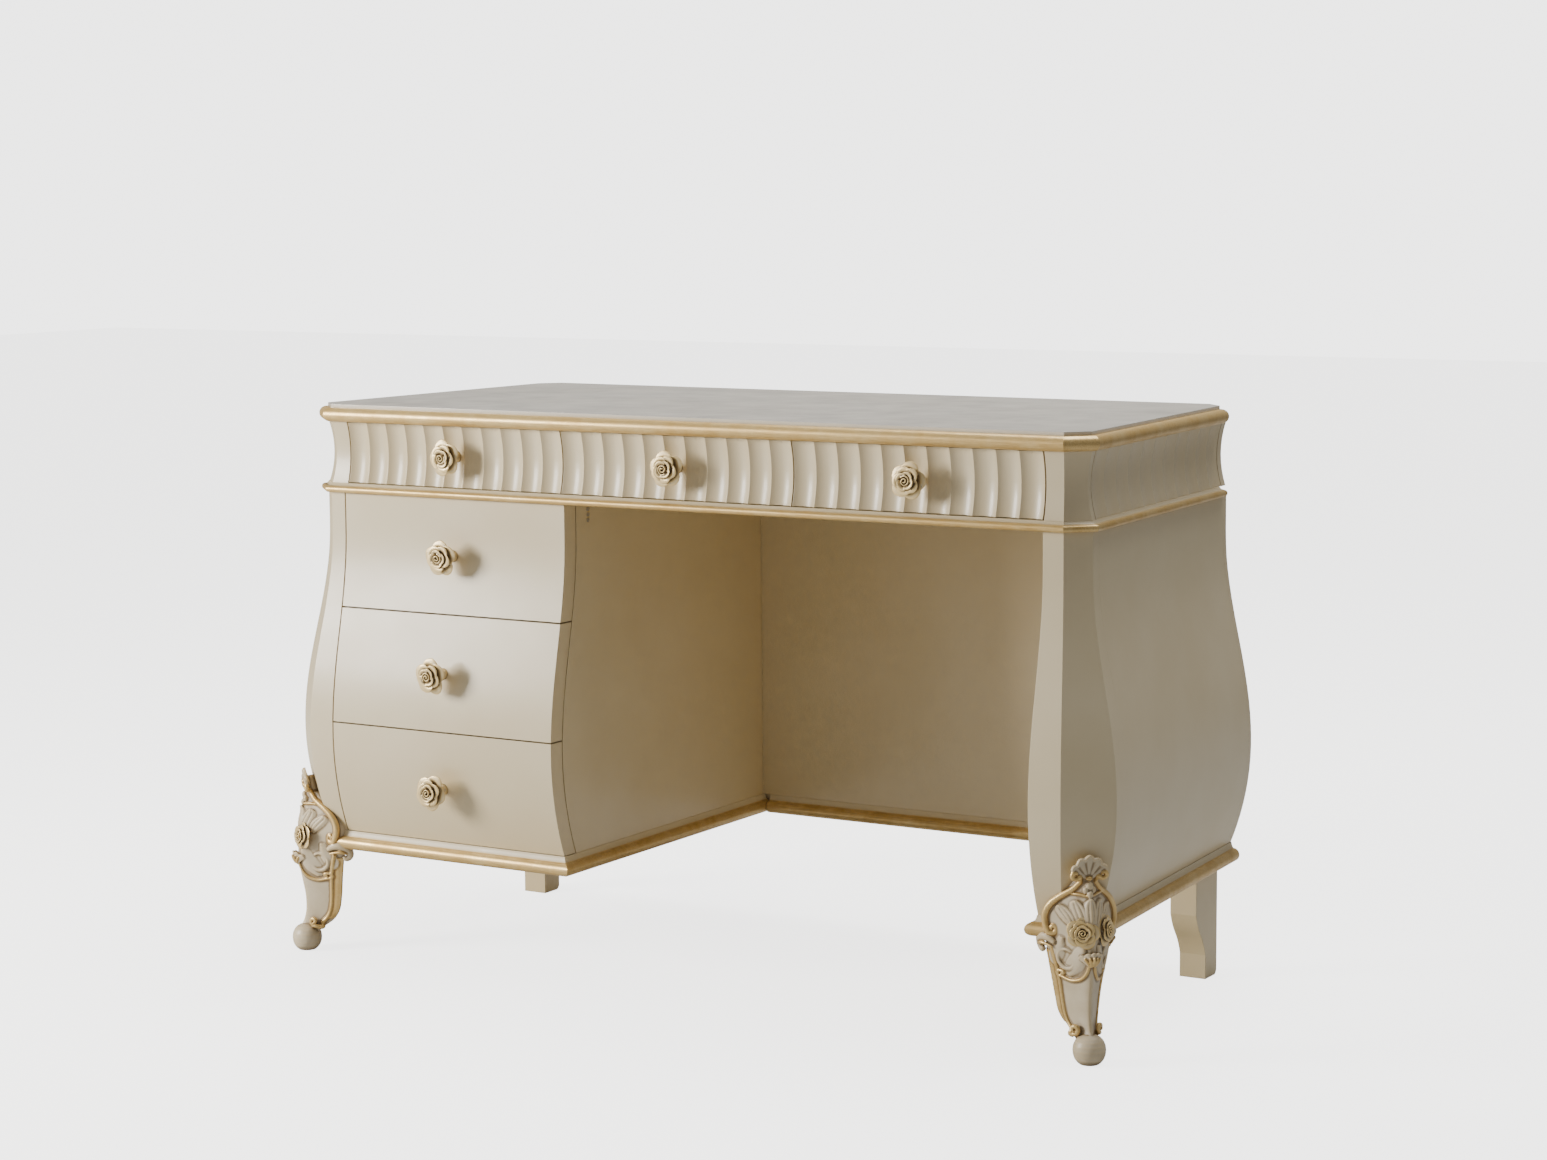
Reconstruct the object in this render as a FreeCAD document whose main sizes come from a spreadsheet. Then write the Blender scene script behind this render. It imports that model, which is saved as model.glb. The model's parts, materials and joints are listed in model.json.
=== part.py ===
import FreeCAD, Part
import math
import os
import Sketcher

os.makedirs("parts", exist_ok=True)
V = FreeCAD.Vector
doc = FreeCAD.newDocument("dressing_table")

# ---------------------------------------------------------------- driving dimensions (mm)
DIMENSIONS = {
    # the top, seen from above: a trapezium, wider in front, with cut corners
    "front_line": -225.35,       # y of the top board's front edge
    "board_width": 1190,
    "board_depth": 516,
    "corner_cut": 26,
    "rear_taper": 34,            # each side closes in by this much at the back
    "overall_height": 780,
    "board_step": 5,             # the board stands this far above its moulding
    "edge_height": 19,
    "edge_reach": 12,
    # frieze
    "frieze_bottom": 670,
    "cavetto_depth": 7,
    "drawer_line": 541,          # half the run of the three frieze drawers
    "flutes_per_drawer": 11,
    "flutes_per_side": 11,
    "flute_depth": 4.8,
    "side_flute_depth": 2.4,
    "frieze_panel": 24,
    "corner_stile": 14,          # the corner block runs on this far behind the fluted boards
    # waist
    "waist_height": 13,
    "waist_reach": 11,
    "waist_nose_height": 9,
    "waist_root": 5,
    "fillet_reach": 1,           # the small hollow above a nose ends this far out
    # the swelling lower case
    "neck_reach": 1.5,
    "neck_level": 610,
    "belly_reach": 41.5,
    "belly_level": 320,
    "foot_reach": 13,            # how far the case stands out where it meets the base
    "skin": 18,                  # thickness of the curved side panels
    "front_panel": 26,           # thickness of the curved drawer fronts
    # base
    "base_top": 178,
    "base_bottom": 152,
    "base_nose": 13,
    "base_nose_height": 18,
    "base_root": 4,              # the nose starts this far out of the case's face, and reaches as far in
    "base_board": 18,
    # pedestal and right-hand support
    "pedestal_face": -174,       # x of the pedestal's side of the kneehole
    "support_face": 541.5,       # x of the support's side of the kneehole
    "pedestal_drawer_left": -545,
    "panel": 16,
    "back_panel": 12,
    "post_depth": 46,
    # drawers
    "gap": 2,
    "side_wall": 12,
    "thin_panel": 6,
    "frieze_drawer_depth": 350,
    "pedestal_drawer_depth": 400,
    "frieze_side_height": 60,
    "pedestal_side_height": 112,
    "pedestal_box_left": 14,     # from the drawer front's left edge to its box
    "pedestal_box_right": 10,    # from the box to the inner side panel
    "pedestal_box_rise": 20,     # from a drawer's lower edge to its sides
    "side_bearing": 12,          # how much of a drawer side lies on its runner
    "runner_height": 6,
    "runner_width": 20,
    "slide_gap": 0.5,
    # rose knobs
    "knob_radius": 24,
    "knob_depth": 24,
    "stem_radius": 8,
    "stem_length": 17,
    "seat_depth": 4,
    "screw_radius": 2,
    "screw_head": 4.5,
    "head_sink": 1.5,            # the screw's head is let in by this much
    "head_thickness": 2.5,
    "screw_grip": 10,            # length of screw inside the knob
    # front feet
    "ball_radius": 21,
    "ball_out": 50,
    "knee_width": 84,
    "knee_out": 64,
    "knee_height": 44,           # half the height of the swelling over the base moulding
    "knee_root": 14,
    "ankle_width": 34,
    "ankle_rise": 40,
    "crest_top": 264,
    "crest_width": 44,
    "crest_thickness": 11,
    # small screws that join the ends to the frieze
    "connector_radius": 2,
    "connector_head": 2.8,
    "connector_length": 13,
    "connector_drop": 11,
    "connector_pitch": 7.5,
    "connector_set": 8,          # behind the front posts
    # rear legs
    "leg_width": 38,
    "leg_top_depth": 70,
    "leg_foot_depth": 38,
    "leg_set_back": 36,
    "leg_inset": 6,              # the leg stands this far inside the case's outer face
    "heel_radius": 8,
}

sheet = doc.addObject("Spreadsheet::Sheet", "dims")
for row, (alias, value) in enumerate(DIMENSIONS.items(), start=1):
    sheet.set(f"A{row}", alias)
    sheet.set(f"B{row}", str(value))
    sheet.setAlias(f"B{row}", alias)
doc.recompute()


def size(alias):
    """A driving dimension as a number."""
    return float(sheet.get(alias))


def bound(words):
    """A dimension formula in the sheet's aliases, as an expression of the document."""
    return " ".join("dims." + word if word in DIMENSIONS else word for word in words.split())


def place(feature, x="0", y="0", z="0"):
    """Bind a feature's position; y is measured from the top board's front edge."""
    feature.setExpression("Placement.Base.x", bound(x))
    feature.setExpression("Placement.Base.y", bound("front_line + " + y))
    feature.setExpression("Placement.Base.z", bound(z))


HALF = size("board_width") / 2
DEPTH = size("board_depth")
CUT = size("corner_cut")
TAPER = size("rear_taper")
FRONT = size("front_line")
WAIST = size("frieze_bottom") - size("waist_height")
BASE_TOP = size("base_top")
BASE_BOTTOM = size("base_bottom")
SIDE_ANGLE = math.atan2(TAPER, DEPTH - 2 * CUT)
REACH = 2000                     # longer than anything that it cuts through


# ---------------------------------------------------------------- shapes that follow the outline
def swell(level):
    """How far the lower case stands out of the top board's outline at a height."""
    neck, belly, foot = size("neck_reach"), size("belly_reach"), size("foot_reach")
    if level >= size("neck_level"):
        return neck
    if level >= size("belly_level"):
        part = (level - size("belly_level")) / (size("neck_level") - size("belly_level"))
        return neck + (belly - neck) * (1 + math.cos(math.pi * part)) / 2
    part = (size("belly_level") - level) / (size("belly_level") - BASE_TOP)
    return belly - (belly - foot) * part ** 2


def swelling_edge(shift):
    """The case's curve from the base up to the waist, as one edge in the x-z plane."""
    steps = 12
    levels = [BASE_TOP + (WAIST - BASE_TOP) * i / steps for i in range(steps + 1)]
    curve = Part.BSplineCurve()
    curve.interpolate([V(swell(level) + shift, 0, level) for level in levels])
    return [curve.toShape()]


def straight_edge(low, high, reach):
    return [Part.LineSegment(V(reach, 0, low), V(reach, 0, high)).toShape()]


def hollow_edge(low, high, depth):
    middle = V(-depth, 0, (low + high) / 2)
    return [Part.Arc(V(0, 0, low), middle, V(0, 0, high)).toShape()]


def nose_edge(low, high, reach, root):
    middle = V(reach, 0, (low + high) / 2)
    return [Part.Arc(V(root, 0, low), middle, V(root, 0, high)).toShape()]


def nose_and_fillet_edge(low, nose_top, high, reach, root, fillet):
    """A round nose with a small hollow fillet above it."""
    edges = nose_edge(low, nose_top, reach, root)
    hollow = 0.6
    bend = V((root + fillet) / 2 - hollow, 0, (nose_top + high) / 2)
    edges.append(Part.Arc(V(root, 0, nose_top), bend, V(fillet, 0, high)).toShape())
    return edges


def slab(point, direction, edges):
    """Everything behind one side of an outline whose face has the given upright profile."""
    start, end = edges[0].Vertexes[0].Point, edges[-1].Vertexes[-1].Point
    back = [V(end.x, 0, end.z), V(-REACH, 0, end.z), V(-REACH, 0, start.z), V(start.x, 0, start.z)]
    wire = Part.Wire(edges + Part.makePolygon(back).Edges)
    solid = Part.Face(wire).extrude(V(0, 2 * REACH, 0))
    solid.translate(V(0, -REACH, 0))
    turn = FreeCAD.Rotation(V(0, 0, 1), math.degrees(math.atan2(direction.y, direction.x)))
    solid.Placement = FreeCAD.Placement(V(point.x, point.y, 0), turn) * solid.Placement
    return solid


def at(x, y):
    """A point of the plan, y measured from the top board's front edge."""
    return V(x, FRONT + y, 0)


def outward(angle):
    return V(math.cos(angle), math.sin(angle), 0)


SIDES = {
    "front": (at(0, 0), outward(-math.pi / 2)),
    "front_right": (at(HALF - CUT / 2, CUT / 2), outward(-math.pi / 4)),
    "right": (at(HALF, CUT), outward(SIDE_ANGLE)),
    "rear_right": (at(HALF - TAPER - CUT / 2, DEPTH - CUT / 2), outward(math.pi / 4)),
    "rear": (at(0, DEPTH), outward(math.pi / 2)),
    "rear_left": (at(-HALF + TAPER + CUT / 2, DEPTH - CUT / 2), outward(3 * math.pi / 4)),
    "left": (at(-HALF, CUT), outward(math.pi - SIDE_ANGLE)),
    "front_left": (at(-HALF + CUT / 2, CUT / 2), outward(-3 * math.pi / 4)),
    "kneehole_bar": (at(0, DEPTH - size("back_panel")), outward(-math.pi / 2)),
    "kneehole_left": (at(size("pedestal_face"), 0), outward(0)),
    "kneehole_right": (at(size("support_face"), 0), outward(math.pi)),
}
ALL_ROUND = ["front", "front_right", "right", "rear_right", "rear", "rear_left", "left", "front_left"]
CASE_SIDES = ["front", "front_right", "right", "left", "front_left"]


def common_form(name, profiles):
    """A helper solid: what lies behind every one of the listed sides, each with its profile."""
    shape = None
    for side, edges in profiles:
        piece = slab(*SIDES[side], edges)
        shape = piece if shape is None else shape.common(piece)
    form = doc.addObject("Part::Feature", name)
    form.Shape = shape
    return form


def ring_round(name, sides, edges):
    return common_form(name, [(side, edges) for side in sides])


def case_form(name, shift):
    """The swelling lower case, shrunk by -shift, with a plain back."""
    profiles = [(side, swelling_edge(shift)) for side in CASE_SIDES]
    profiles.append(("rear", straight_edge(BASE_TOP, WAIST, 0)))
    return common_form(name, profiles)


# ---------------------------------------------------------------- helpers for sub-parts
def box(name, x, y, z):
    """A board between two x, two y and two z formulas; y from the top board's front edge."""
    board = doc.addObject("Part::Box", name)
    for prop, (low, high) in zip(("Length", "Width", "Height"), (x, y, z)):
        board.setExpression(prop, bound(f"( {high} ) - ( {low} )"))
    place(board, x[0], y[0], z[0])
    return board


def cut(name, base, *tools):
    for number, tool in enumerate(tools):
        result = doc.addObject("Part::Cut", name if number == len(tools) - 1 else f"{name}_step{number}")
        result.Base = base
        result.Tool = tool
        base = result
    return base


def shared(name, base, tool):
    result = doc.addObject("Part::Common", name)
    result.Base = base
    result.Tool = tool
    return result


def group(name, members):
    """Several separate solids that share one name."""
    result = doc.addObject("Part::Compound", name)
    result.Links = members
    return result


def rod(name, radius, length, x, y, z, towards_back=True):
    """A round rod along the table's depth, from the given point."""
    cylinder = doc.addObject("Part::Cylinder", name)
    cylinder.setExpression("Radius", bound(radius))
    cylinder.setExpression("Height", bound(length))
    cylinder.Placement.Rotation = FreeCAD.Rotation(V(1, 0, 0), -90 if towards_back else 90)
    place(cylinder, x, y, z)
    return cylinder


def outline_sketch(body, name, role, points, guesses):
    """A closed polygon whose corners are bound to formulas of the sheet."""
    sketch = body.newObject("Sketcher::SketchObject", name)
    plane = next(item for item in body.Origin.OriginFeatures if item.Role == role)
    sketch.AttachmentSupport = [(plane, "")]
    sketch.MapMode = "FlatFace"
    corners = [V(x, y, 0) for x, y in guesses]
    count = len(corners)
    for i in range(count):
        sketch.addGeometry(Part.LineSegment(corners[i], corners[(i + 1) % count]))
    for i in range(count):
        sketch.addConstraint(Sketcher.Constraint("Coincident", i, 2, (i + 1) % count, 1))
    for i, (x, y) in enumerate(points):
        index = sketch.addConstraint(Sketcher.Constraint("DistanceX", -1, 1, i, 1, guesses[i][0]))
        sketch.setExpression(f"Constraints[{index}]", bound(x))
        index = sketch.addConstraint(Sketcher.Constraint("DistanceY", -1, 1, i, 1, guesses[i][1]))
        sketch.setExpression(f"Constraints[{index}]", bound(y))
    return sketch


def plan_board(name, points, guesses, bottom, height):
    """A flat board of any outline, lying at a height."""
    body = doc.addObject("PartDesign::Body", name)
    sketch = outline_sketch(body, name + "_outline", "XY_Plane", points, guesses)
    pad = body.newObject("PartDesign::Pad", name + "_pad")
    pad.Profile = sketch
    pad.setExpression("Length", bound(height))
    place(body, "0", "0", bottom)
    return body


nodes = []


def node(feature):
    """Keep a finished sub-part under its own name."""
    feature.Label = feature.Name
    nodes.append(feature)
    return feature


# ---------------------------------------------------------------- top
def outline_points():
    """The top's eight corners as formulas, anticlockwise from the right of the front."""
    half, rear_half = "board_width / 2", "board_width / 2 - rear_taper"
    right = [(f"{half} - corner_cut", "0"), (half, "corner_cut"),
             (rear_half, "board_depth - corner_cut"), (f"{rear_half} - corner_cut", "board_depth")]
    left = [(f"0 - ( {x} )", y) for x, y in reversed(right)]
    return right + left


def outline_guesses():
    right = [(HALF - CUT, 0), (HALF, CUT), (HALF - TAPER, DEPTH - CUT), (HALF - TAPER - CUT, DEPTH)]
    return right + [(-x, y) for x, y in reversed(right)]


EDGE_BOTTOM = "overall_height - board_step - edge_height"
TOP_OF_EDGE = size("overall_height") - size("board_step")
BOTTOM_OF_EDGE = TOP_OF_EDGE - size("edge_height")


def make_top():
    board = plan_board("top_board", outline_points(), outline_guesses(), EDGE_BOTTOM,
                       "board_step + edge_height")
    node(board)
    form = ring_round("edge_form", ALL_ROUND,
                      nose_edge(BOTTOM_OF_EDGE, TOP_OF_EDGE, size("edge_reach"), size("edge_reach") / 3))
    node(cut("top_edge_moulding", form, board))


# ---------------------------------------------------------------- frieze
FRIEZE_MIDDLE = (size("frieze_bottom") + BOTTOM_OF_EDGE) / 2
FRIEZE_HEIGHT = BOTTOM_OF_EDGE - size("frieze_bottom")
CAVETTO = size("cavetto_depth")
CAVETTO_RADIUS = ((FRIEZE_HEIGHT / 2) ** 2 + CAVETTO ** 2) / (2 * CAVETTO)


def fluted_board(name, width, height, flutes, depth):
    """A board with a hollow face cut into upright flutes, front at y = 0, centred on x and z."""
    body = doc.addObject("PartDesign::Body", name)
    half_width, half_height, thickness = width / 2, height / 2, size("frieze_panel")
    face_corners = [(-half_width, -half_height), (half_width, -half_height),
                    (half_width, half_height), (-half_width, half_height)]
    blank = outline_sketch(body, name + "_blank", "XZ_Plane", [(str(x), str(z)) for x, z in face_corners],
                           face_corners)
    pad = body.newObject("PartDesign::Pad", name + "_pad")
    pad.Profile = blank
    pad.Reversed = True
    pad.setExpression("Length", bound("frieze_panel"))
    doc.recompute()

    # one flute: a shallow arc turned about the cavetto's axis, which lies in front of the board
    axis_y = CAVETTO - CAVETTO_RADIUS
    pitch = width / flutes
    left, right = -half_width, pitch - half_width
    sketch = body.newObject("Sketcher::SketchObject", name + "_flute")
    plane = next(item for item in body.Origin.OriginFeatures if item.Role == "XY_Plane")
    sketch.AttachmentSupport = [(plane, "")]
    sketch.MapMode = "FlatFace"
    corners = [V(left, axis_y, 0), V(left, CAVETTO, 0), V(right, CAVETTO, 0), V(right, axis_y, 0)]
    crown = V(left + pitch / 2, CAVETTO + depth, 0)
    sketch.addGeometry(Part.LineSegment(corners[0], corners[1]))
    sketch.addGeometry(Part.Arc(corners[1], crown, corners[2]))
    sketch.addGeometry(Part.LineSegment(corners[2], corners[3]))
    sketch.addGeometry(Part.LineSegment(corners[3], corners[0]))
    for i in range(4):
        sketch.addConstraint(Sketcher.Constraint("Block", i))
    groove = body.newObject("PartDesign::Groove", name + "_groove")
    groove.Profile = sketch
    groove.ReferenceAxis = (sketch, ["Edge4"])
    groove.Angle = 360
    pattern = body.newObject("PartDesign::LinearPattern", name + "_flutes")
    pattern.Originals = [groove]
    pattern.Direction = (blank, ["H_Axis"])
    pattern.Length = pitch * (flutes - 1)
    pattern.Occurrences = flutes
    body.Tip = pattern
    doc.recompute()
    return body


def make_frieze():
    """Corner blocks with a plain stile, fluted side boards, and the carcass behind the drawers."""
    panel = size("frieze_panel")
    corner_end = panel + size("corner_stile")
    low, high = "frieze_bottom", EDGE_BOTTOM
    hollow = hollow_edge(size("frieze_bottom"), BOTTOM_OF_EDGE, CAVETTO)
    form = common_form("frieze_form", [(side, hollow) for side in CASE_SIDES]
                       + [("rear", straight_edge(size("frieze_bottom"), BOTTOM_OF_EDGE, 0))])
    run = DEPTH - corner_end - size("panel")
    lean = 2 * panel * math.tan(SIDE_ANGLE)
    for side, sign in (("left", -1), ("right", 1)):
        span = ["drawer_line + gap / 2", "board_width / 2 + 10"]
        if side == "left":
            span = ["0 - board_width / 2 - 10", "0 - drawer_line - gap / 2"]
        blank = box(f"frieze_corner_{side}_blank", span, ("0 - 5", "frieze_panel + corner_stile"),
                    (low, high))
        node(shared(f"frieze_corner_{side}", blank, form))

        face = fluted_board(f"frieze_side_{side}", run / math.cos(SIDE_ANGLE) - lean, FRIEZE_HEIGHT,
                            int(size("flutes_per_side")), size("side_flute_depth"))
        middle = corner_end + run / 2
        x = sign * (HALF - TAPER * (middle - CUT) / (DEPTH - 2 * CUT))
        turn = sign * (90 + math.degrees(SIDE_ANGLE))
        face.Placement = FreeCAD.Placement(at(x, middle) + V(0, 0, FRIEZE_MIDDLE),
                                           FreeCAD.Rotation(V(0, 0, 1), turn))
        node(face)

    rear_half = "( board_width / 2 - rear_taper )"
    rail = box("frieze_back_rail_blank", (f"0 - {rear_half} - 10", f"{rear_half} + 10"),
               ("board_depth - panel", "board_depth"), (low, high))
    node(shared("frieze_back_rail", rail, form))
    dividers = []
    for number, x in enumerate(("0 - drawer_line / 3", "drawer_line / 3")):
        dividers.append(box(f"frieze_divider_{number + 1}", (f"{x} - panel / 2", f"{x} + panel / 2"),
                            ("frieze_panel + gap", "board_depth - panel"), (low, high)))
    node(group("frieze_dividers", dividers))


# ---------------------------------------------------------------- waist
def make_waist():
    """The board under the frieze drawers, and the gilded bead round its edge."""
    board = plan_board("waist_board", outline_points(), outline_guesses(), "frieze_bottom - waist_height",
                       "waist_height")
    node(board)
    edges = nose_and_fillet_edge(WAIST, WAIST + size("waist_nose_height"), size("frieze_bottom"),
                                 size("waist_reach"), size("waist_root"), size("fillet_reach"))
    node(cut("waist_bead", ring_round("waist_form", ALL_ROUND, edges), board))


# ---------------------------------------------------------------- lower case
def make_connector_screws():
    """Three small screws, one above another, high up in front on each side of the kneehole."""
    screws = []
    for side, face, inward in (("left", "pedestal_face", -1), ("right", "support_face", 1)):
        for number in range(3):
            level = f"frieze_bottom - waist_height - connector_drop - {number} * connector_pitch"
            for part, radius, length, shift in (("shank", "connector_radius", "connector_length", 0),
                                                ("head", "connector_head", "connector_head / 2", 1)):
                name = f"connector_{side}_{number + 1}_{part}"
                pin = doc.addObject("Part::Cylinder", name)
                pin.setExpression("Radius", bound(radius))
                pin.setExpression("Height", bound(length))
                towards = inward if shift == 0 else -inward
                pin.Placement.Rotation = FreeCAD.Rotation(V(0, 1, 0), 90 * towards)
                place(pin, face, "post_depth + connector_set", level)
                screws.append(pin)
    joined = doc.addObject("Part::MultiFuse", "connector_screws")
    joined.Shapes = screws
    return node(joined)


def make_lower_case():
    """Curved side shells and posts, flat kneehole panels, backs and floors."""
    outer = case_form("case_form", 0)
    inner = case_form("case_hollow", -size("skin"))
    behind_fronts = case_form("front_clearance", -size("front_panel") - size("gap"))
    case = ("base_top", "frieze_bottom - waist_height")
    full = "( board_width / 2 + belly_reach + 10 )"
    rear = "board_depth - back_panel"

    # the front posts: a plain front face and the cut corner, one at each end
    post_depth = "post_depth"
    left_post = box("pedestal_front_post_blank", (f"0 - {full}", "pedestal_drawer_left - gap"),
                    ("0 - belly_reach - 10", post_depth), case)
    node(shared("pedestal_front_post", left_post, outer))
    right_post = box("support_front_post_blank", ("support_face", full), ("0 - belly_reach - 10", post_depth),
                     case)
    node(shared("support_front_post", right_post, outer))

    # the curved sides
    shell = cut("side_shell", outer, inner)
    left_run = box("pedestal_outer_side_run", (f"0 - {full}", "0 - board_width / 2 + rear_taper + skin + 20"),
                   (post_depth, rear), case)
    node(shared("pedestal_outer_side", shell, left_run))
    right_run = box("support_outer_side_run", ("board_width / 2 - rear_taper - skin - 20", full),
                    (post_depth, rear), case)
    node(shared("support_outer_side", shell, right_run))

    # the flat sides of the kneehole
    blank = box("pedestal_inner_side_blank", ("pedestal_face - skin", "pedestal_face"),
                ("0 - belly_reach", rear), case)
    inner_panel = shared("pedestal_inner_side_fitted", blank, behind_fronts)
    blank = box("support_inner_side_blank", ("support_face", "support_face + panel"), (post_depth, rear),
                case)
    fitted = shared("support_inner_side_fitted", blank, inner)
    screws = make_connector_screws()
    node(cut("pedestal_inner_side", inner_panel, screws))
    node(cut("support_inner_side", fitted, screws))

    # the backs, which close the curved sides too
    left_back = box("pedestal_back_blank", (f"0 - {full}", "pedestal_face"), (rear, "board_depth"), case)
    node(shared("pedestal_back", left_back, outer))
    right_back = box("kneehole_back_blank", ("pedestal_face", full), (rear, "board_depth"), case)
    node(shared("kneehole_back", right_back, outer))
    return outer, inner


# ---------------------------------------------------------------- base
def make_base():
    """Floors of the two ends, and the gilded base moulding in three runs."""
    nose = size("base_nose")
    foot = size("foot_reach")
    root = size("base_root")
    nose_top = BASE_BOTTOM + size("base_nose_height")

    def run(stand_out):
        return nose_and_fillet_edge(BASE_BOTTOM, nose_top, BASE_TOP, stand_out + nose, stand_out + root,
                                    stand_out + size("fillet_reach"))

    def plain(stand_out):
        return straight_edge(BASE_BOTTOM - 1, BASE_TOP + 1, stand_out)

    back_line = ("rear", straight_edge(BASE_BOTTOM, BASE_TOP, 0))
    outlines = {
        "pedestal": ("front", "left", "front_left", "kneehole_left"),
        "support": ("front", "right", "front_right", "kneehole_right"),
    }
    mouldings = []
    for name, sides in outlines.items():
        reach = {side: (0 if side.startswith("kneehole") else foot) for side in sides}
        ring = common_form(f"{name}_base_form", [(side, run(reach[side])) for side in sides] + [back_line])
        core = common_form(f"{name}_base_core", [(side, plain(reach[side] - root)) for side in sides]
                           + [("rear", straight_edge(BASE_BOTTOM - 1, BASE_TOP + 1, 1))])
        mouldings.append(node(cut(f"{name}_base_moulding", ring, core)))
        slab_box = box(f"{name}_floor_blank", ("0 - board_width", "board_width"), ("0 - 100", "board_depth"),
                       ("base_top - base_board", "base_top"))
        node(shared(f"{name}_floor", slab_box, core))

    bar = common_form("kneehole_base_form", [("kneehole_bar", run(0)), ("rear", plain(0))])
    between = box("kneehole_base_run", ("pedestal_face + base_nose", "support_face - base_nose"),
                  ("board_depth - back_panel - base_nose", "board_depth"), ("base_bottom", "base_top"))
    node(shared("kneehole_base_moulding", bar, between))
    return mouldings


# ---------------------------------------------------------------- feet
FLOOR_BOTTOM = BASE_TOP - size("base_board")


def oval(level, middle, deep, half_wide):
    """A level oval section of a foot, centred some way out from the corner."""
    ellipse = Part.Ellipse(V(0, 0, 0), max(deep, half_wide), min(deep, half_wide)).toShape()
    if half_wide > deep:
        ellipse.rotate(V(0, 0, 0), V(0, 0, 1), 90)
    ellipse.translate(V(middle, 0, level))
    return Part.Wire([ellipse])


def make_front_foot(side, case, mouldings):
    """A carved cabriole foot set on the corner's diagonal: ball, leg, knee and a crest up the post."""
    sign = 1 if side == "right" else -1
    ball, ball_out = size("ball_radius"), size("ball_out")
    knee_out, knee_half = size("knee_out"), size("knee_width") / 2
    ankle_half, crest_half = size("ankle_width") / 2, size("crest_width") / 2
    ankle_level = 1.5 * ball
    calf_level = ankle_level + size("ankle_rise")
    ball_sink = 2                # the ball's flat sole lies this far up the full ball

    leg = Part.makeLoft([oval(ankle_level, 0.88 * ball_out, 0.26 * ball_out, ankle_half),
                         oval(calf_level, 0.58 * ball_out, 0.44 * ball_out, 1.5 * ankle_half),
                         oval(BASE_BOTTOM - knee_half, 0.58 * ball_out, 0.54 * ball_out, 0.79 * knee_half),
                         oval(FLOOR_BOTTOM, 0.48 * ball_out, 0.72 * ball_out, 0.9 * knee_half)], True)
    above_floor = Part.makeBox(REACH, REACH, REACH, V(-REACH / 2, -REACH / 2, 0))
    sphere = Part.makeSphere(ball, V(ball_out, 0, ball - ball_sink)).common(above_floor)

    knee_root, knee_level = size("knee_root"), (BASE_BOTTOM + FLOOR_BOTTOM) / 2
    knee = Part.makeSphere(1)
    stretch = FreeCAD.Matrix()
    stretch.scale(V(knee_out - knee_root, knee_half, size("knee_height")))
    knee = knee.transformGeometry(stretch)
    knee.translate(V(knee_root, 0, knee_level))
    before_case = Part.makeBox(REACH, REACH, REACH, V(knee_root + 2, -REACH / 2, 0))
    knee = knee.common(before_case)

    crest_top, shoulder = size("crest_top"), BASE_TOP - 6
    narrow, wide = crest_half, 0.9 * knee_half
    half_shield = [V(0, wide, shoulder), V(0, wide, shoulder + 14), V(0, narrow, shoulder + 44),
                   V(0, narrow, crest_top - 12)]
    shield = half_shield + [V(0, 0, crest_top)] + [V(0, -p.y, p.z) for p in reversed(half_shield)]
    crest = Part.Face(Part.makePolygon(shield + [shield[0]])).extrude(V(2 * knee_out, 0, 0))
    crest = crest.common(slab(V(0, 0, 0), V(1, 0, 0), swelling_edge(size("crest_thickness") + 3)))

    foot = leg.fuse([sphere, knee, crest])
    corner = at(sign * (HALF - CUT / 2), CUT / 2)
    turn = -45 if side == "right" else -135
    foot.Placement = FreeCAD.Placement(corner, FreeCAD.Rotation(V(0, 0, 1), turn))
    whole = doc.addObject("Part::Feature", f"front_foot_{side}_whole")
    whole.Shape = foot
    return node(cut(f"front_foot_{side}", whole, *mouldings, case))


def make_rear_leg(side, mouldings):
    """A bracket leg: straight back, curved front, standing under the rear corner."""
    sign = 1 if side == "right" else -1
    width, top, foot = size("leg_width"), size("leg_top_depth"), size("leg_foot_depth")
    rear = FRONT + DEPTH - size("leg_set_back")
    outer = HALF - TAPER + size("foot_reach") - size("leg_inset")
    top_left, heel = V(0, rear - top, FLOOR_BOTTOM), size("heel_radius")
    knee, ankle = V(0, rear - top, BASE_BOTTOM * 0.62), V(0, rear - foot, BASE_BOTTOM * 0.22)
    toe = V(0, rear - foot, 0)
    bend = V(0, (knee.y + ankle.y) / 2, (knee.z + ankle.z) / 2)
    upper = Part.Arc(knee, V(0, knee.y + (bend.y - knee.y) * 0.32, (knee.z + bend.z) / 2 + 2), bend)
    lower = Part.Arc(bend, V(0, ankle.y - (ankle.y - bend.y) * 0.32, (ankle.z + bend.z) / 2 - 2), ankle)
    heel_low, heel_high = V(0, rear - heel, 0), V(0, rear, heel)
    heel_arc = Part.Arc(heel_low, V(0, rear - heel * 0.29, heel * 0.29), heel_high)
    edges = [Part.LineSegment(top_left, knee), upper, lower, Part.LineSegment(ankle, toe),
             Part.LineSegment(toe, heel_low), heel_arc, Part.LineSegment(heel_high, V(0, rear, FLOOR_BOTTOM)),
             Part.LineSegment(V(0, rear, FLOOR_BOTTOM), top_left)]
    leg = Part.Face(Part.Wire([edge.toShape() for edge in edges])).extrude(V(width, 0, 0))
    whole = doc.addObject("Part::Feature", f"rear_leg_{side}_whole")
    whole.Shape = leg
    whole.Placement.Base = V(outer - width if sign > 0 else -outer, 0, 0)
    return node(cut(f"rear_leg_{side}", whole, *mouldings))


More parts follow.
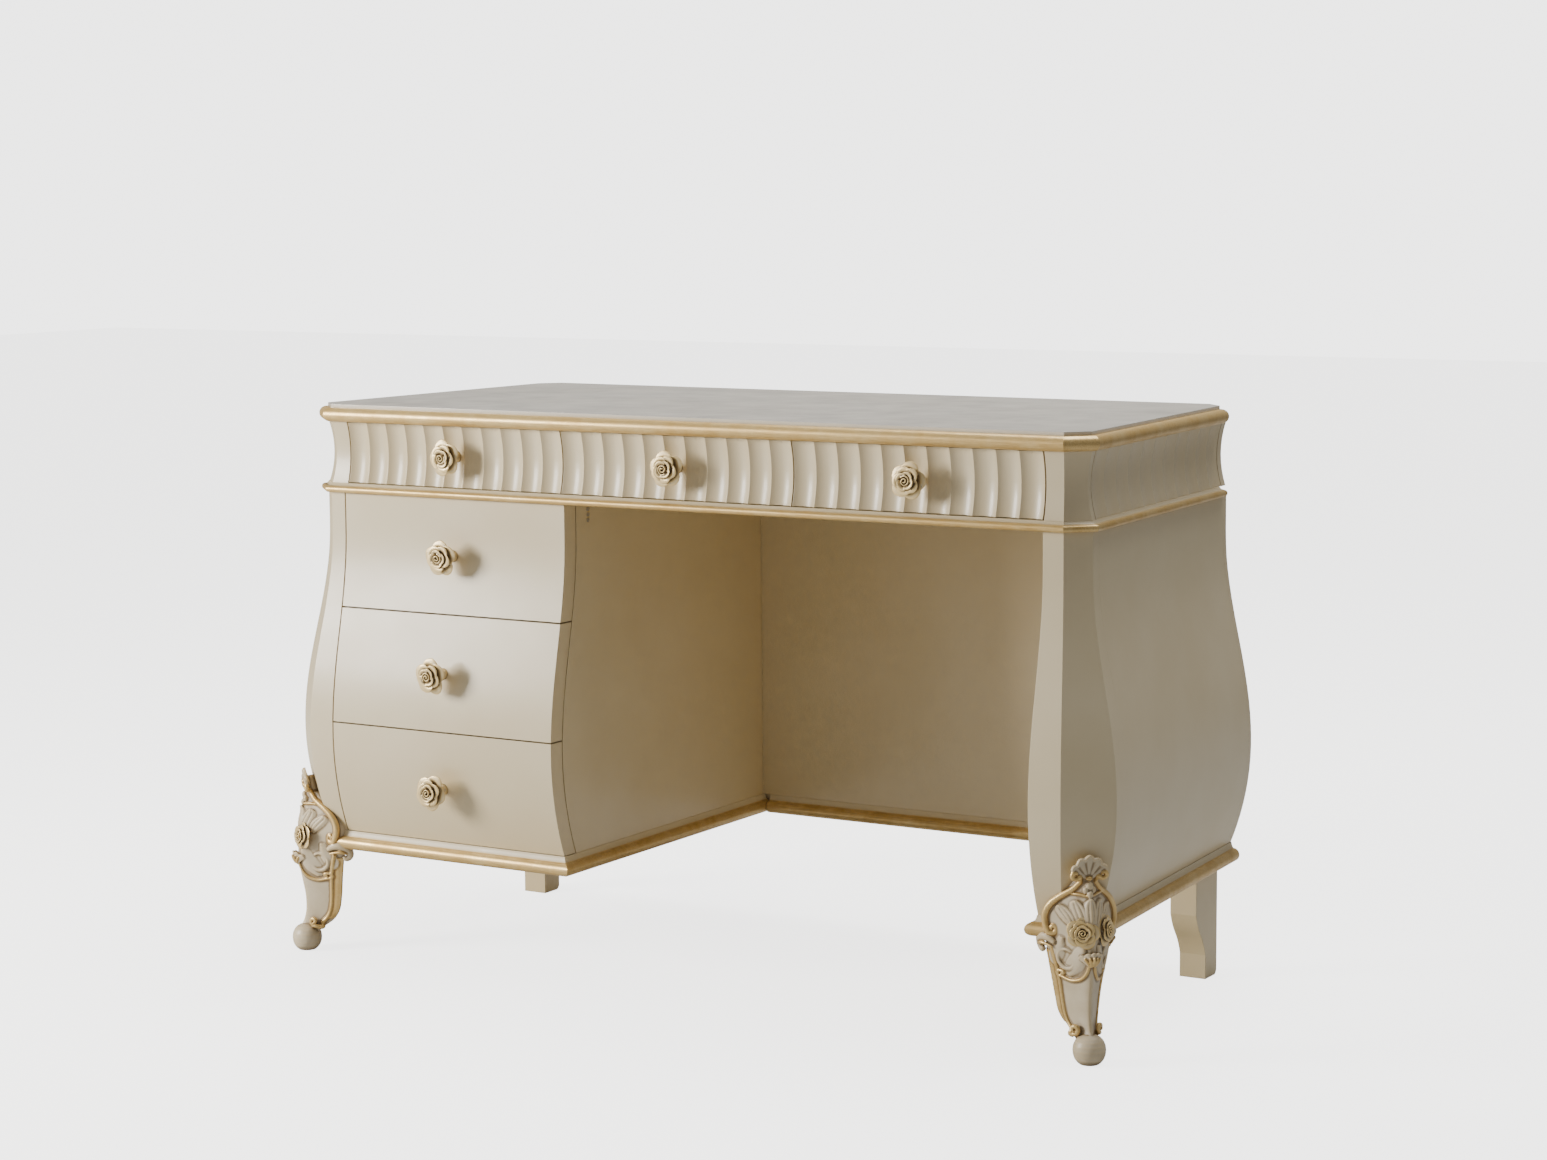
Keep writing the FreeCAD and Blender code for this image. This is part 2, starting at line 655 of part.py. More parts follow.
# ---------------------------------------------------------------- knobs and drawers
def make_knob(name, x, face, level):
    """A rose knob: stem seated in the drawer front, a swelling head, and its screw from inside."""
    stem_end = face + size("seat_depth")
    radius, deep, stem = size("knob_radius"), size("knob_depth"), size("stem_radius")
    reach = size("stem_length") + size("seat_depth")
    body = doc.addObject("PartDesign::Body", name + "_rose")
    sketch = body.newObject("Sketcher::SketchObject", name + "_section")
    plane = next(item for item in body.Origin.OriginFeatures if item.Role == "XY_Plane")
    sketch.AttachmentSupport = [(plane, "")]
    sketch.MapMode = "FlatFace"
    screw, grip = size("screw_radius"), size("screw_grip")
    root, neck = V(stem, 0, 0), V(0.75 * stem, -reach, 0)
    back, cheek = V(0.75 * radius, -reach - 0.08 * deep, 0), V(0.98 * radius, -reach - 0.2 * deep, 0)
    rim, brow = V(radius, -reach - 0.4 * deep, 0), V(0.72 * radius, -reach - 0.86 * deep, 0)
    crown, tip = V(screw, -reach - deep, 0), V(0, -reach - deep, 0)
    bore_end, bore_corner, bore_mouth = V(0, -grip, 0), V(screw, -grip, 0), V(screw, 0, 0)
    outline = [Part.LineSegment(bore_mouth, root), Part.LineSegment(root, neck), Part.LineSegment(neck, back),
               Part.Arc(back, cheek, rim), Part.Arc(rim, brow, crown), Part.LineSegment(crown, tip),
               Part.LineSegment(tip, bore_end), Part.LineSegment(bore_end, bore_corner),
               Part.LineSegment(bore_corner, bore_mouth)]
    for i, edge in enumerate(outline):
        sketch.addGeometry(edge)
        sketch.addConstraint(Sketcher.Constraint("Block", i))
    turned = body.newObject("PartDesign::Revolution", name + "_turned")
    turned.Profile = sketch
    turned.ReferenceAxis = (sketch, ["V_Axis"])
    turned.Angle = 360
    body.Placement.Base = at(x, stem_end) + V(0, 0, level)
    return body


def drill_front(name, front, x, face, back, level):
    """The knob's seat and the screw's clearance hole in a drawer front."""
    clear = 20                   # how far each cutter runs on beyond the wood
    seat = rod(name + "_seat", "stem_radius", f"seat_depth + {clear}",
               str(x), f"{face} - {clear}", str(level))
    hole = rod(name + "_hole", "screw_radius + 0.3", str(back - face + clear),
               str(x), f"{face} - {clear / 2}", str(level))
    flat = rod(name + "_flat", "screw_head + 1", str(clear),
               str(x), f"{back} - head_sink", str(level))
    return cut(name, front, seat, hole, flat)


def make_screw(name, x, face, back, level):
    """The knob's screw, its flat head against the back of the drawer front."""
    start = face + size("seat_depth") - size("screw_grip")
    seat = back - size("head_sink")
    shank = rod(name + "_shank", "screw_radius", str(seat - start), str(x), str(start), str(level))
    head = rod(name + "_head", "screw_head", "head_thickness", str(x), str(seat), str(level))
    fused = doc.addObject("Part::Fuse", name)
    fused.Base = shank
    fused.Tool = head
    return fused


def make_drawer_box(prefix, left, right, start, depth, floor_level, side_height, limit=None):
    """Two sides, a back and a thin bottom behind a drawer front."""
    wall, thin = "side_wall", "thin_panel"
    top_level = f"{floor_level} + {side_height}"
    reach = (start, f"{start} + {depth}")
    inside = (f"{left} + {wall}", f"{right} - {wall}")
    level = f"{floor_level} + {thin}"
    pieces = {
        "left_side": box(f"{prefix}_left_side", (left, inside[0]), reach, (floor_level, top_level)),
        "right_side": box(f"{prefix}_right_side", (inside[1], right), reach, (floor_level, top_level)),
    }
    bottom_name = f"{prefix}_bottom" if limit is None else f"{prefix}_bottom_board"
    bottom = box(bottom_name, inside, reach, (level, f"{level} + {thin}"))
    back = box(f"{prefix}_back", inside, (f"{reach[1]} - {wall}", reach[1]), (f"{level} + {thin}", top_level))
    if limit is not None:
        pieces = {name: shared(f"{prefix}_{name}_fitted", piece, limit) for name, piece in pieces.items()}
        bottom = shared(f"{prefix}_bottom", bottom, limit)
    node(group(f"{prefix}_sides", list(pieces.values())))
    node(back)
    node(bottom)


def make_frieze_drawers():
    names = ("left", "middle", "right")
    width = 2 * size("drawer_line") / len(names)
    panel = size("frieze_panel")
    face = CAVETTO + size("flute_depth")
    runners = []
    for number, name in enumerate(names):
        prefix = f"frieze_{name}_drawer"
        middle = -size("drawer_line") + width * (number + 0.5)
        board = fluted_board(f"{prefix}_front_board", width - size("gap"), FRIEZE_HEIGHT - size("gap"),
                             int(size("flutes_per_drawer")), size("flute_depth"))
        board.Placement.Base = at(middle, 0) + V(0, 0, FRIEZE_MIDDLE)
        node(drill_front(f"{prefix}_front", board, middle, face, panel, FRIEZE_MIDDLE))
        knob = make_knob(f"{prefix}_knob", middle, face, FRIEZE_MIDDLE)
        screw = make_screw(f"{prefix}_screw", middle, face, panel, FRIEZE_MIDDLE)
        node(group(f"{prefix}_knob", [knob, screw]))
        left = f"{middle} - {width / 2} + panel"
        right = f"{middle} + {width / 2} - panel"
        floor = "frieze_bottom + runner_height + slide_gap"
        make_drawer_box(prefix, left, right, "frieze_panel", "frieze_drawer_depth", floor,
                        "frieze_side_height")
        for end, edge in (("left", f"{left} - 4"), ("right", f"{right} + 4 - runner_width")):
            runners.append(box(f"{prefix}_{end}_runner", (edge, f"{edge} + runner_width"),
                               ("frieze_panel + gap", "frieze_drawer_depth + frieze_panel"),
                               ("frieze_bottom", "frieze_bottom + runner_height")))
    node(group("frieze_runners", runners))


def make_pedestal_drawers(case, hollow):
    names = ("top", "middle", "bottom")
    height = (WAIST - BASE_TOP) / len(names)
    thickness = size("front_panel")
    inner = case_form("front_back_form", -thickness)
    shell = cut("front_shell", case, inner)
    left, right = "pedestal_drawer_left", "pedestal_face"
    middle = (size("pedestal_drawer_left") + size("pedestal_face")) / 2
    box_left = f"{left} + pedestal_box_left"
    box_right = f"{right} - skin - pedestal_box_right"
    runners = []
    for number, name in enumerate(names):
        prefix = f"pedestal_{name}_drawer"
        high = WAIST - height * number
        low = high - height
        level = (low + high) / 2
        face = -swell(level)
        back = face + thickness
        blank = box(f"{prefix}_front_blank", (left, right), ("0 - belly_reach - 10", "front_panel + 10"),
                    (f"{low} + gap / 2", f"{high} - gap / 2"))
        curved = shared(f"{prefix}_front_board", blank, shell)
        node(drill_front(f"{prefix}_front", curved, middle, face, back, level))
        knob = make_knob(f"{prefix}_knob", middle, face, level)
        screw = make_screw(f"{prefix}_screw", middle, face, back, level)
        node(group(f"{prefix}_knob", [knob, screw]))
        floor = f"{low} + pedestal_box_rise"
        make_drawer_box(prefix, box_left, box_right, "0 - belly_reach", "pedestal_drawer_depth + belly_reach",
                        floor, "pedestal_side_height", inner)
        for end, span in (("left", (f"{left} - runner_width", f"{box_left} + side_bearing")),
                          ("right", (f"{box_right} - side_bearing", f"{right} - skin"))):
            strip = box(f"{prefix}_{end}_strip", span, ("post_depth", "board_depth - back_panel"),
                        (f"{floor} - slide_gap - runner_height", f"{floor} - slide_gap"))
            runners.append(shared(f"{prefix}_{end}_runner", strip, hollow))
    node(group("pedestal_runners", runners))


# ---------------------------------------------------------------- the whole table
make_top()
make_frieze()
make_waist()
case_outer, case_hollow = make_lower_case()
base_mouldings = make_base()
for which in ("left", "right"):
    make_front_foot(which, case_outer, base_mouldings)
    make_rear_leg(which, base_mouldings)
make_frieze_drawers()
make_pedestal_drawers(case_outer, case_hollow)
doc.recompute()

faults = [item.Name for item in doc.Objects if {"Invalid", "Error"} & set(item.State)]
faults += [item.Name for item in nodes if item.Shape.isNull() or not item.Shape.isValid()]
if faults:
    raise RuntimeError("features that did not build: " + ", ".join(faults))
for item in nodes:
    item.Shape.exportStep(f"parts/{item.Label}.step")
print(len(nodes), "sub-parts written")
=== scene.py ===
"""Looks of the kneehole dressing table: materials, rose knobs, carved feet, camera and studio."""
import json
import math

import bpy
import numpy as np
from mathutils import Matrix, Vector
from mathutils.bvhtree import BVHTree


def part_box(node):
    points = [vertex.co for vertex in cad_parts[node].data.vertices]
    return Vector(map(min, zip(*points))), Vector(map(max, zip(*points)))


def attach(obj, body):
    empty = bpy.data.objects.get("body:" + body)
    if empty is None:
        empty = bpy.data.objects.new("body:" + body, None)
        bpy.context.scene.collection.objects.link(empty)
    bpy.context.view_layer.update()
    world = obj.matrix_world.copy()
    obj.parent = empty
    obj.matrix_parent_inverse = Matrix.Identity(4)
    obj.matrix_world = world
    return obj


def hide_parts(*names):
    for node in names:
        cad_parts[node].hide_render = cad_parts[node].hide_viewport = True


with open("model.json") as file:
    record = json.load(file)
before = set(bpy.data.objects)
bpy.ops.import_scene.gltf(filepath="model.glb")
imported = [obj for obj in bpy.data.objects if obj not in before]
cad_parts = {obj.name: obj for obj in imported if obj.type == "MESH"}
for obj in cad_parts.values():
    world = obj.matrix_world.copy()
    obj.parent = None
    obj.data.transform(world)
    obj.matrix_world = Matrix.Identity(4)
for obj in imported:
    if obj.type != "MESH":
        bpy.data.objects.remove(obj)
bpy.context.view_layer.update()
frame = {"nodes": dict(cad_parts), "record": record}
NODES = frame["nodes"]
MM = 0.001

# ---------------------------------------------------------------- materials


class Shader:
    """A material built node by node, with one Principled shader at its end."""

    def __init__(self, name):
        self.material = bpy.data.materials.new(name)
        self.material.use_nodes = True
        self.tree = self.material.node_tree
        self.bsdf = self.tree.nodes["Principled BSDF"]
        self.place = self.node("ShaderNodeTexCoord").outputs["Object"]

    def node(self, kind, inputs=None, **settings):
        made = self.tree.nodes.new(kind)
        for key, value in settings.items():
            setattr(made, key, value)
        for key, value in (inputs or {}).items():
            self.feed(made.inputs[key], value)
        return made

    def feed(self, socket, value):
        if isinstance(value, bpy.types.NodeSocket):
            self.tree.links.new(value, socket)
        else:
            socket.default_value = value

    def noise(self, scale, detail=3.0, roughness=0.5, stretch=None):
        place = self.place
        if stretch:
            mapping = self.node("ShaderNodeMapping", {"Vector": place, "Scale": stretch})
            place = mapping.outputs["Vector"]
        made = self.node("ShaderNodeTexNoise", {"Vector": place, "Scale": scale, "Detail": detail,
                                                "Roughness": roughness})
        return made.outputs["Fac"]

    def remap(self, value, low, high, to_low, to_high):
        made = self.node("ShaderNodeMapRange", {"Value": value, "From Min": low, "From Max": high,
                                                "To Min": to_low, "To Max": to_high})
        return made.outputs["Result"]

    def blend(self, factor, first, second):
        made = self.node("ShaderNodeMix", data_type="RGBA", blend_type="MIX")
        self.feed(made.inputs[0], factor)
        self.feed(made.inputs[6], first)
        self.feed(made.inputs[7], second)
        return made.outputs[2]

    def recess(self, distance):
        """1 where the surface lies open, 0 deep in a fold."""
        made = self.node("ShaderNodeAmbientOcclusion", {"Distance": distance}, samples=8)
        return made.outputs["AO"]

    def rounded(self, radius):
        """The surface's direction with its sharp edges eased by a radius."""
        return self.node("ShaderNodeBevel", {"Radius": radius}, samples=6).outputs["Normal"]

    def bump(self, height, strength, distance, normal=None):
        inputs = {"Height": height, "Strength": strength, "Distance": distance}
        if normal is not None:
            inputs["Normal"] = normal
        return self.node("ShaderNodeBump", inputs).outputs["Normal"]

    def finish(self, **sockets):
        for name, value in sockets.items():
            self.feed(self.bsdf.inputs[name.replace("_", " ")], value)
        return self.material


def rgb(red, green, blue):
    return (red, green, blue, 1.0)


IVORY = rgb(0.680, 0.575, 0.382)
IVORY_WARM = rgb(0.645, 0.535, 0.338)
# painted shade: the lacquer's darker, warmer colour where other surfaces enclose it
IVORY_SHADED = rgb(0.650, 0.510, 0.270)
GLAZE = rgb(0.240, 0.160, 0.070)
GOLD = rgb(0.620, 0.400, 0.130)
GOLD_PALE = rgb(0.780, 0.570, 0.250)
GOLD_DEEP = rgb(0.300, 0.165, 0.045)
CARVING = rgb(0.630, 0.530, 0.370)
CARVING_WARM = rgb(0.560, 0.460, 0.300)
# painted reflection: the top's colours are paler and greyer than the ivory, for the white surroundings it
# reflects
TOP_PAINTED_SHEEN = rgb(0.760, 0.710, 0.620)
TOP_WARM_PAINTED_SHEEN = rgb(0.730, 0.675, 0.580)
# painted shade: the dark tint mixed into the lacquer's folds
FOLD_SHADE = rgb(0.46, 0.38, 0.24)
WOOD_PALE = rgb(0.56, 0.42, 0.26)
WOOD_DARK = rgb(0.44, 0.31, 0.18)
WOOD_FIBRE = rgb(0.30, 0.19, 0.10)
STEEL_BRIGHT = rgb(0.55, 0.53, 0.50)
STEEL_DULL = rgb(0.38, 0.36, 0.33)
PAPER = rgb(0.50, 0.50, 0.49)
PAPER_PALE = rgb(0.55, 0.55, 0.54)
STUDIO_WHITE = rgb(1.0, 0.995, 0.985)

BRUSHED_ALONG_X = (0.05, 1.0, 1.0)   # noise drawn out twenty times along X
SHADE_REACH = 450 * MM                  # how far off other surfaces still cast painted shade (darker, warmer) on the lacquer
FOLD = 9 * MM                        # how wide a fold holds painted shade on the lacquer, or glaze on the carving and gilding
NEVER = 10.0                         # metres up, above the whole table


def lacquer(name, light, warm, gloss, edge=0.9 * MM):
    """Sprayed lacquer: faint clouding, painted shade (darker, warmer) where other surfaces enclose it,
    painted shade in its folds, orange peel and softly worn edges."""
    s = Shader(name)
    cloud = s.remap(s.noise(6.0, 4.0), 0.35, 0.65, 0.0, 1.0)
    colour = s.blend(cloud, light, warm)
    # painted shade: darker, warmer lacquer where other surfaces enclose it
    colour = s.blend(s.remap(s.recess(SHADE_REACH), 0.25, 0.85, 0.85, 0.0), colour, IVORY_SHADED)
    # painted shade: the lacquer darkens in its folds
    fold_shade = s.remap(s.recess(FOLD), 0.25, 0.8, 0.55, 0.0)
    colour = s.blend(fold_shade, colour, FOLD_SHADE)
    peel = s.noise(420.0, 2.0)
    normal = s.bump(peel, 0.05, 0.25 * MM, s.rounded(edge))
    rough = s.remap(s.noise(14.0, 5.0, 0.6), 0.3, 0.7, gloss, gloss + 0.09)
    return s.finish(Base_Color=colour, Roughness=rough, Normal=normal, Coat_Weight=0.25,
                    Coat_Roughness=0.18, Specular_IOR_Level=0.45)


def gilding(name, ivory_above=NEVER):
    """Rubbed gold paint: pale where it is rubbed, brown where the glaze stays, with brush marks along X.
    Above a height the moulding's fillet is left ivory."""
    s = Shader(name)
    brush = s.noise(900.0, 3.0, 0.6, BRUSHED_ALONG_X)
    patch = s.remap(s.noise(28.0, 5.0, 0.65), 0.3, 0.7, 0.0, 1.0)
    colour = s.blend(patch, GOLD, GOLD_PALE)
    colour = s.blend(s.remap(brush, 0.35, 0.7, 0.0, 0.45), colour, GOLD_DEEP)
    colour = s.blend(s.remap(s.recess(5 * MM), 0.2, 0.75, 0.75, 0.0), colour, GLAZE)
    height = s.node("ShaderNodeSeparateXYZ", {"Vector": s.place}).outputs["Z"]
    wander = s.remap(brush, 0.3, 0.7, -0.4 * MM, 0.4 * MM)
    level = s.node("ShaderNodeMath", {0: height, 1: wander}, operation="ADD").outputs["Value"]
    painted = s.remap(level, ivory_above - 0.5 * MM, ivory_above + 0.5 * MM, 0.0, 1.0)
    colour = s.blend(painted, colour, IVORY_WARM)
    normal = s.bump(brush, 0.12, 0.2 * MM, s.rounded(0.6 * MM))
    rough = s.remap(patch, 0.0, 1.0, 0.44, 0.32)
    metal = s.remap(painted, 0.0, 1.0, 0.45, 0.0)
    return s.finish(Base_Color=colour, Roughness=rough, Normal=normal, Metallic=metal)


def antique_ivory(name, least_gold, most_gold):
    """Ivory paint with brown glaze wiped into the carving and gold rubbed on its ridges: the point
    attribute "relief" tells one from the other."""
    s = Shader(name)
    cloud = s.remap(s.noise(40.0, 4.0), 0.35, 0.65, 0.0, 1.0)
    colour = s.blend(cloud, IVORY, IVORY_WARM)
    relief = s.node("ShaderNodeAttribute", attribute_name="relief").outputs["Fac"]
    gold = s.remap(relief, 0.54, 0.74, least_gold, most_gold)
    colour = s.blend(gold, colour, GOLD_PALE)
    colour = s.blend(s.remap(relief, 0.49, 0.24, 0.0, 0.95), colour, GLAZE)
    colour = s.blend(s.remap(s.recess(FOLD), 0.10, 0.80, 0.95, 0.0), colour, GLAZE)
    grain = s.noise(700.0, 3.0)
    normal = s.bump(grain, 0.10, 0.2 * MM)
    rough = s.remap(s.noise(60.0, 4.0), 0.3, 0.7, 0.34, 0.46)
    shine = s.remap(relief, 0.50, 0.74, 0.0, 0.5 * most_gold)
    return s.finish(Base_Color=colour, Roughness=rough, Normal=normal, Metallic=shine,
                    Coat_Weight=0.15, Coat_Roughness=0.25)


def carved(name):
    """Ivory carving with brown glaze in its hollows, and gold where "gilt" marks a gilded form."""
    s = Shader(name)
    cloud = s.remap(s.noise(40.0, 4.0), 0.35, 0.65, 0.0, 1.0)
    relief = s.node("ShaderNodeAttribute", attribute_name="relief").outputs["Fac"]
    gilt = s.node("ShaderNodeAttribute", attribute_name="gilt").outputs["Fac"]
    open_air = s.recess(FOLD)
    paint = s.blend(cloud, CARVING, CARVING_WARM)
    paint = s.blend(s.remap(relief, 0.60, 0.90, 0.0, 0.30), paint, GOLD_PALE)
    paint = s.blend(s.remap(relief, 0.47, 0.20, 0.0, 0.85), paint, GLAZE)
    paint = s.blend(s.remap(open_air, 0.15, 0.92, 0.90, 0.0), paint, GLAZE)
    patch = s.remap(s.noise(60.0, 5.0, 0.65), 0.3, 0.7, 0.0, 1.0)
    leafing = s.blend(patch, GOLD, GOLD_PALE)
    leafing = s.blend(s.remap(relief, 0.55, 0.25, 0.0, 0.9), leafing, GOLD_DEEP)
    leafing = s.blend(s.remap(open_air, 0.2, 0.9, 0.9, 0.0), leafing, GOLD_DEEP)
    colour = s.blend(gilt, paint, leafing)
    normal = s.bump(s.noise(700.0, 3.0), 0.10, 0.2 * MM)
    rough = s.remap(gilt, 0.0, 1.0, 0.46, 0.38)
    metal = s.remap(gilt, 0.0, 1.0, 0.0, 0.45)
    return s.finish(Base_Color=colour, Roughness=rough, Normal=normal, Metallic=metal,
                    Coat_Weight=0.12, Coat_Roughness=0.25)


def timber(name):
    """Planed, unpainted drawer wood with its grain running front to back."""
    s = Shader(name)
    warp = s.noise(5.0, 3.0, 0.5, (3.0, 0.35, 3.0))
    rings = s.node("ShaderNodeTexWave",
                   {"Vector": s.place, "Scale": 9.0, "Distortion": 11.0, "Detail": 4.0,
                    "Detail Scale": 1.4, "Phase Offset": warp},
                   wave_type="BANDS", bands_direction="X").outputs["Fac"]
    fibre = s.noise(420.0, 4.0, 0.6, (1.0, 0.03, 1.0))
    colour = s.blend(s.remap(rings, 0.1, 0.9, 0.0, 0.55), WOOD_PALE, WOOD_DARK)
    colour = s.blend(s.remap(fibre, 0.45, 0.75, 0.0, 0.35), colour, WOOD_FIBRE)
    normal = s.bump(fibre, 0.2, 0.2 * MM, s.rounded(0.5 * MM))
    rough = s.remap(rings, 0.0, 1.0, 0.48, 0.6)
    return s.finish(Base_Color=colour, Roughness=rough, Normal=normal)


def steel(name):
    """Plain screw steel with fine turning marks."""
    s = Shader(name)
    turned = s.noise(1500.0, 2.0, 0.5, (1.0, 0.2, 1.0))
    colour = s.blend(turned, STEEL_BRIGHT, STEEL_DULL)
    return s.finish(Base_Color=colour, Metallic=1.0, Roughness=s.remap(turned, 0.3, 0.7, 0.25, 0.42),
                    Normal=s.bump(turned, 0.15, 0.1 * MM, s.rounded(0.3 * MM)))


LACQUER = lacquer("ivory_lacquer", IVORY, IVORY_WARM, 0.34)
# the top's paler, greyer colours are painted reflection
POLISH = lacquer("polished_ivory", TOP_PAINTED_SHEEN, TOP_WARM_PAINTED_SHEEN, 0.14, 1.2 * MM)
GILT_TOP = gilding("gilding_top_edge")
GILT_WAIST = gilding("gilding_waist", ivory_above=666.3 * MM)
GILT_BASE = gilding("gilding_base", ivory_above=170.5 * MM)
ANTIQUE = antique_ivory("antique_ivory", 0.12, 0.80)
GILT_ROSE = antique_ivory("antique_ivory_gilt", 0.30, 1.0)
CARVED = carved("carved_ivory_and_gilt")
TIMBER = timber("drawer_timber")
STEEL = steel("screw_steel")

SLOT_LOOKS = {"ivory_lacquer": LACQUER, "polished_top": POLISH, "gilded_moulding": GILT_TOP,
              "rose_knob": ANTIQUE, "carved_foot": ANTIQUE, "drawer_wood": TIMBER, "screw_steel": STEEL}


def dress(node, material):
    mesh = NODES[node].data
    mesh.materials.clear()
    mesh.materials.append(material)


def dress_all():
    for entry in frame["record"]["subparts"]:
        dress(entry["node"], SLOT_LOOKS[entry["material_slot"]])
    dress("waist_bead", GILT_WAIST)
    for run in ("pedestal", "support", "kneehole"):
        dress(run + "_base_moulding", GILT_BASE)


dress_all()

# ---------------------------------------------------------------- carving


class Form:
    """Closed pieces gathered into one body: points in millimetres and faces as tuples of their numbers."""

    def __init__(self):
        self.points = np.zeros((0, 3))
        self.faces = []

    def add(self, points, faces):
        start = len(self.points)
        self.points = np.vstack([self.points, np.asarray(points, float).reshape(-1, 3)])
        self.faces += [tuple(start + i for i in face) for face in faces]

    def join(self, other):
        self.add(other.points, other.faces)


def unit(vectors):
    vectors = np.asarray(vectors, float)
    return vectors / np.maximum(np.linalg.norm(vectors, axis=-1, keepdims=True), 1e-9)


def curve_through(points, count):
    """A smooth line through the points (Catmull-Rom), as count points spread evenly along its spans."""
    points = np.asarray(points, float)
    padded = np.vstack([2 * points[0] - points[1], points, 2 * points[-1] - points[-2]])
    spans = len(points) - 1
    along = np.linspace(0.0, spans, count)
    k = np.minimum(along.astype(int), spans - 1)
    t = (along - k)[:, None]
    a, b, c, d = padded[k], padded[k + 1], padded[k + 2], padded[k + 3]
    square, cube = 2 * a - 5 * b + 4 * c - d, 3 * b - a - 3 * c + d
    return 0.5 * (2 * b + (c - a) * t + square * t ** 2 + cube * t ** 3)


def ring_faces(rings, sides):
    """Faces of a tube of rings with this many sides, closed at both ends."""
    faces = []
    for i in range(rings - 1):
        for j in range(sides):
            k = (j + 1) % sides
            faces.append((i * sides + j, i * sides + k, (i + 1) * sides + k, (i + 1) * sides + j))
    faces.append(tuple(reversed(range(sides))))
    faces.append(tuple((rings - 1) * sides + j for j in range(sides)))
    return faces


def bead(form, points, widths, count, sides):
    """A round bar along a smooth line through the points, its half width given at each."""
    path = curve_through(np.column_stack([points, widths]), count)
    line, half = path[:, :3], np.maximum(path[:, 3], 0.15)
    tangent = unit(np.gradient(line, axis=0))
    side = unit(np.cross(tangent[0], (0.31, 0.52, 0.79)))
    angles = np.linspace(0.0, 2 * math.pi, sides, endpoint=False)
    rings = []
    for i in range(count):
        side = unit(side - tangent[i] * np.dot(side, tangent[i]))
        other = np.cross(tangent[i], side)
        rings.append(line[i] + half[i] * (np.outer(np.cos(angles), side) + np.outer(np.sin(angles), other)))
    form.add(np.vstack(rings), ring_faces(count, sides))


CURL_EYE = 0.8      # the radius at which a curl's line ends
CURL_STEPS = 14


def curl(centre, across, start, end, outer, rise):
    """Points of an upright spiral round centre that winds in from the radius outer between two angles;
    rise shifts its inner end."""
    share = np.linspace(0.0, 1.0, CURL_STEPS)
    angle = start + (end - start) * share
    radius = outer + (CURL_EYE - outer) * share ** 0.8
    spiral = np.asarray(centre) + np.outer(radius * np.cos(angle), across)
    spiral = spiral + np.outer(radius * np.sin(angle), (0.0, 0.0, 1.0))
    return spiral + np.outer(share, rise)


def shell_sheet(form, grid, thick):
    """A sheet through a grid of points, with a thickness at each, closed round its border."""
    grid = np.asarray(grid, float)
    m, n = grid.shape[:2]
    normal = unit(np.cross(np.gradient(grid, axis=0), np.gradient(grid, axis=1)))
    half = 0.5 * np.broadcast_to(thick, (m, n))[..., None] * normal
    points = np.vstack([(grid + half).reshape(-1, 3), (grid - half).reshape(-1, 3)])
    back = m * n
    faces = []
    for i in range(m - 1):
        for j in range(n - 1):
            a, b, c, d = i * n + j, i * n + j + 1, (i + 1) * n + j + 1, (i + 1) * n + j
            faces.append((a, d, c, b))
            faces.append((back + a, back + b, back + c, back + d))
    border = [j for j in range(n)] + [i * n + n - 1 for i in range(1, m)]
    border += [(m - 1) * n + j for j in range(n - 2, -1, -1)] + [i * n for i in range(m - 2, 0, -1)]
    for a, b in zip(border, border[1:] + border[:1]):
        faces.append((a, b, back + b, back + a))
    form.add(points, faces)


def lump(form, centre, radii):
    """An egg-shaped lump with three radii."""
    rings, sides = 12, 16
    polar = np.linspace(0.06, math.pi - 0.06, rings)
    round_ = np.linspace(0.0, 2 * math.pi, sides, endpoint=False)
    points = [(math.sin(p) * math.cos(q), math.sin(p) * math.sin(q), math.cos(p))
              for p in polar for q in round_]
    faces = [tuple(reversed(face)) for face in ring_faces(rings, sides)]
    form.add(np.array(points) * radii + centre, faces)


def petal(form, turn, half, foot, rim, lay, roll, point, thick):
    """One rose petal: foot and rim are (radius, height); lay slides it under its neighbour, roll bends
    its rim back and point draws the rim out in the middle."""
    across = np.linspace(-1.0, 1.0, 17)[:, None]
    up = np.linspace(0.0, 1.0, 13)[None, :]
    reach = up * (1.0 - 0.20 * np.abs(across) ** 2.5)
    bend = np.maximum(reach - 0.68, 0.0) / 0.32
    radius = foot[0] + (rim[0] - foot[0]) * reach ** 1.15 + lay * across + roll * bend ** 2
    radius = radius + point * (1.0 - np.abs(across)) ** 1.6 * up ** 3
    height = foot[1] + (rim[1] - foot[1]) * np.sin(reach * math.pi / 2) - 0.9 * roll * bend ** 2
    angle = turn + half * across + 0.0 * up
    grid = np.stack([radius * np.cos(angle), radius * np.sin(angle), height + 0.0 * angle], axis=-1)
    shell_sheet(form, grid, thick * (1.0 - 0.35 * reach ** 3))


# rows of petals from the outside in: first angle and the petals' own deviations (degrees), half width
# (degrees), foot and rim as (radius, height), the rim's extra height and after how many petals it starts
# again, then lay, roll, point and thickness as petal takes them
PETAL_ROWS = [
    (0, (0.0, 7.0, -6.0, 4.0, -3.0), 47, (6.0, 2.5), (18.0, 12.5), 0.6, 2, (1.5, 2.4, 1.6, 1.8)),
    (33, (3.0, -5.0, 6.0, 0.0, -4.0), 44, (5.0, 5.0), (14.2, 18.0), 0.5, 3, (1.3, 1.6, 1.0, 1.7)),
    (12, (0.0, 0.0, 0.0, 0.0), 56, (4.0, 8.0), (9.8, 21.4), 0.4, 2, (1.1, 0.8, 0.3, 1.6)),
]


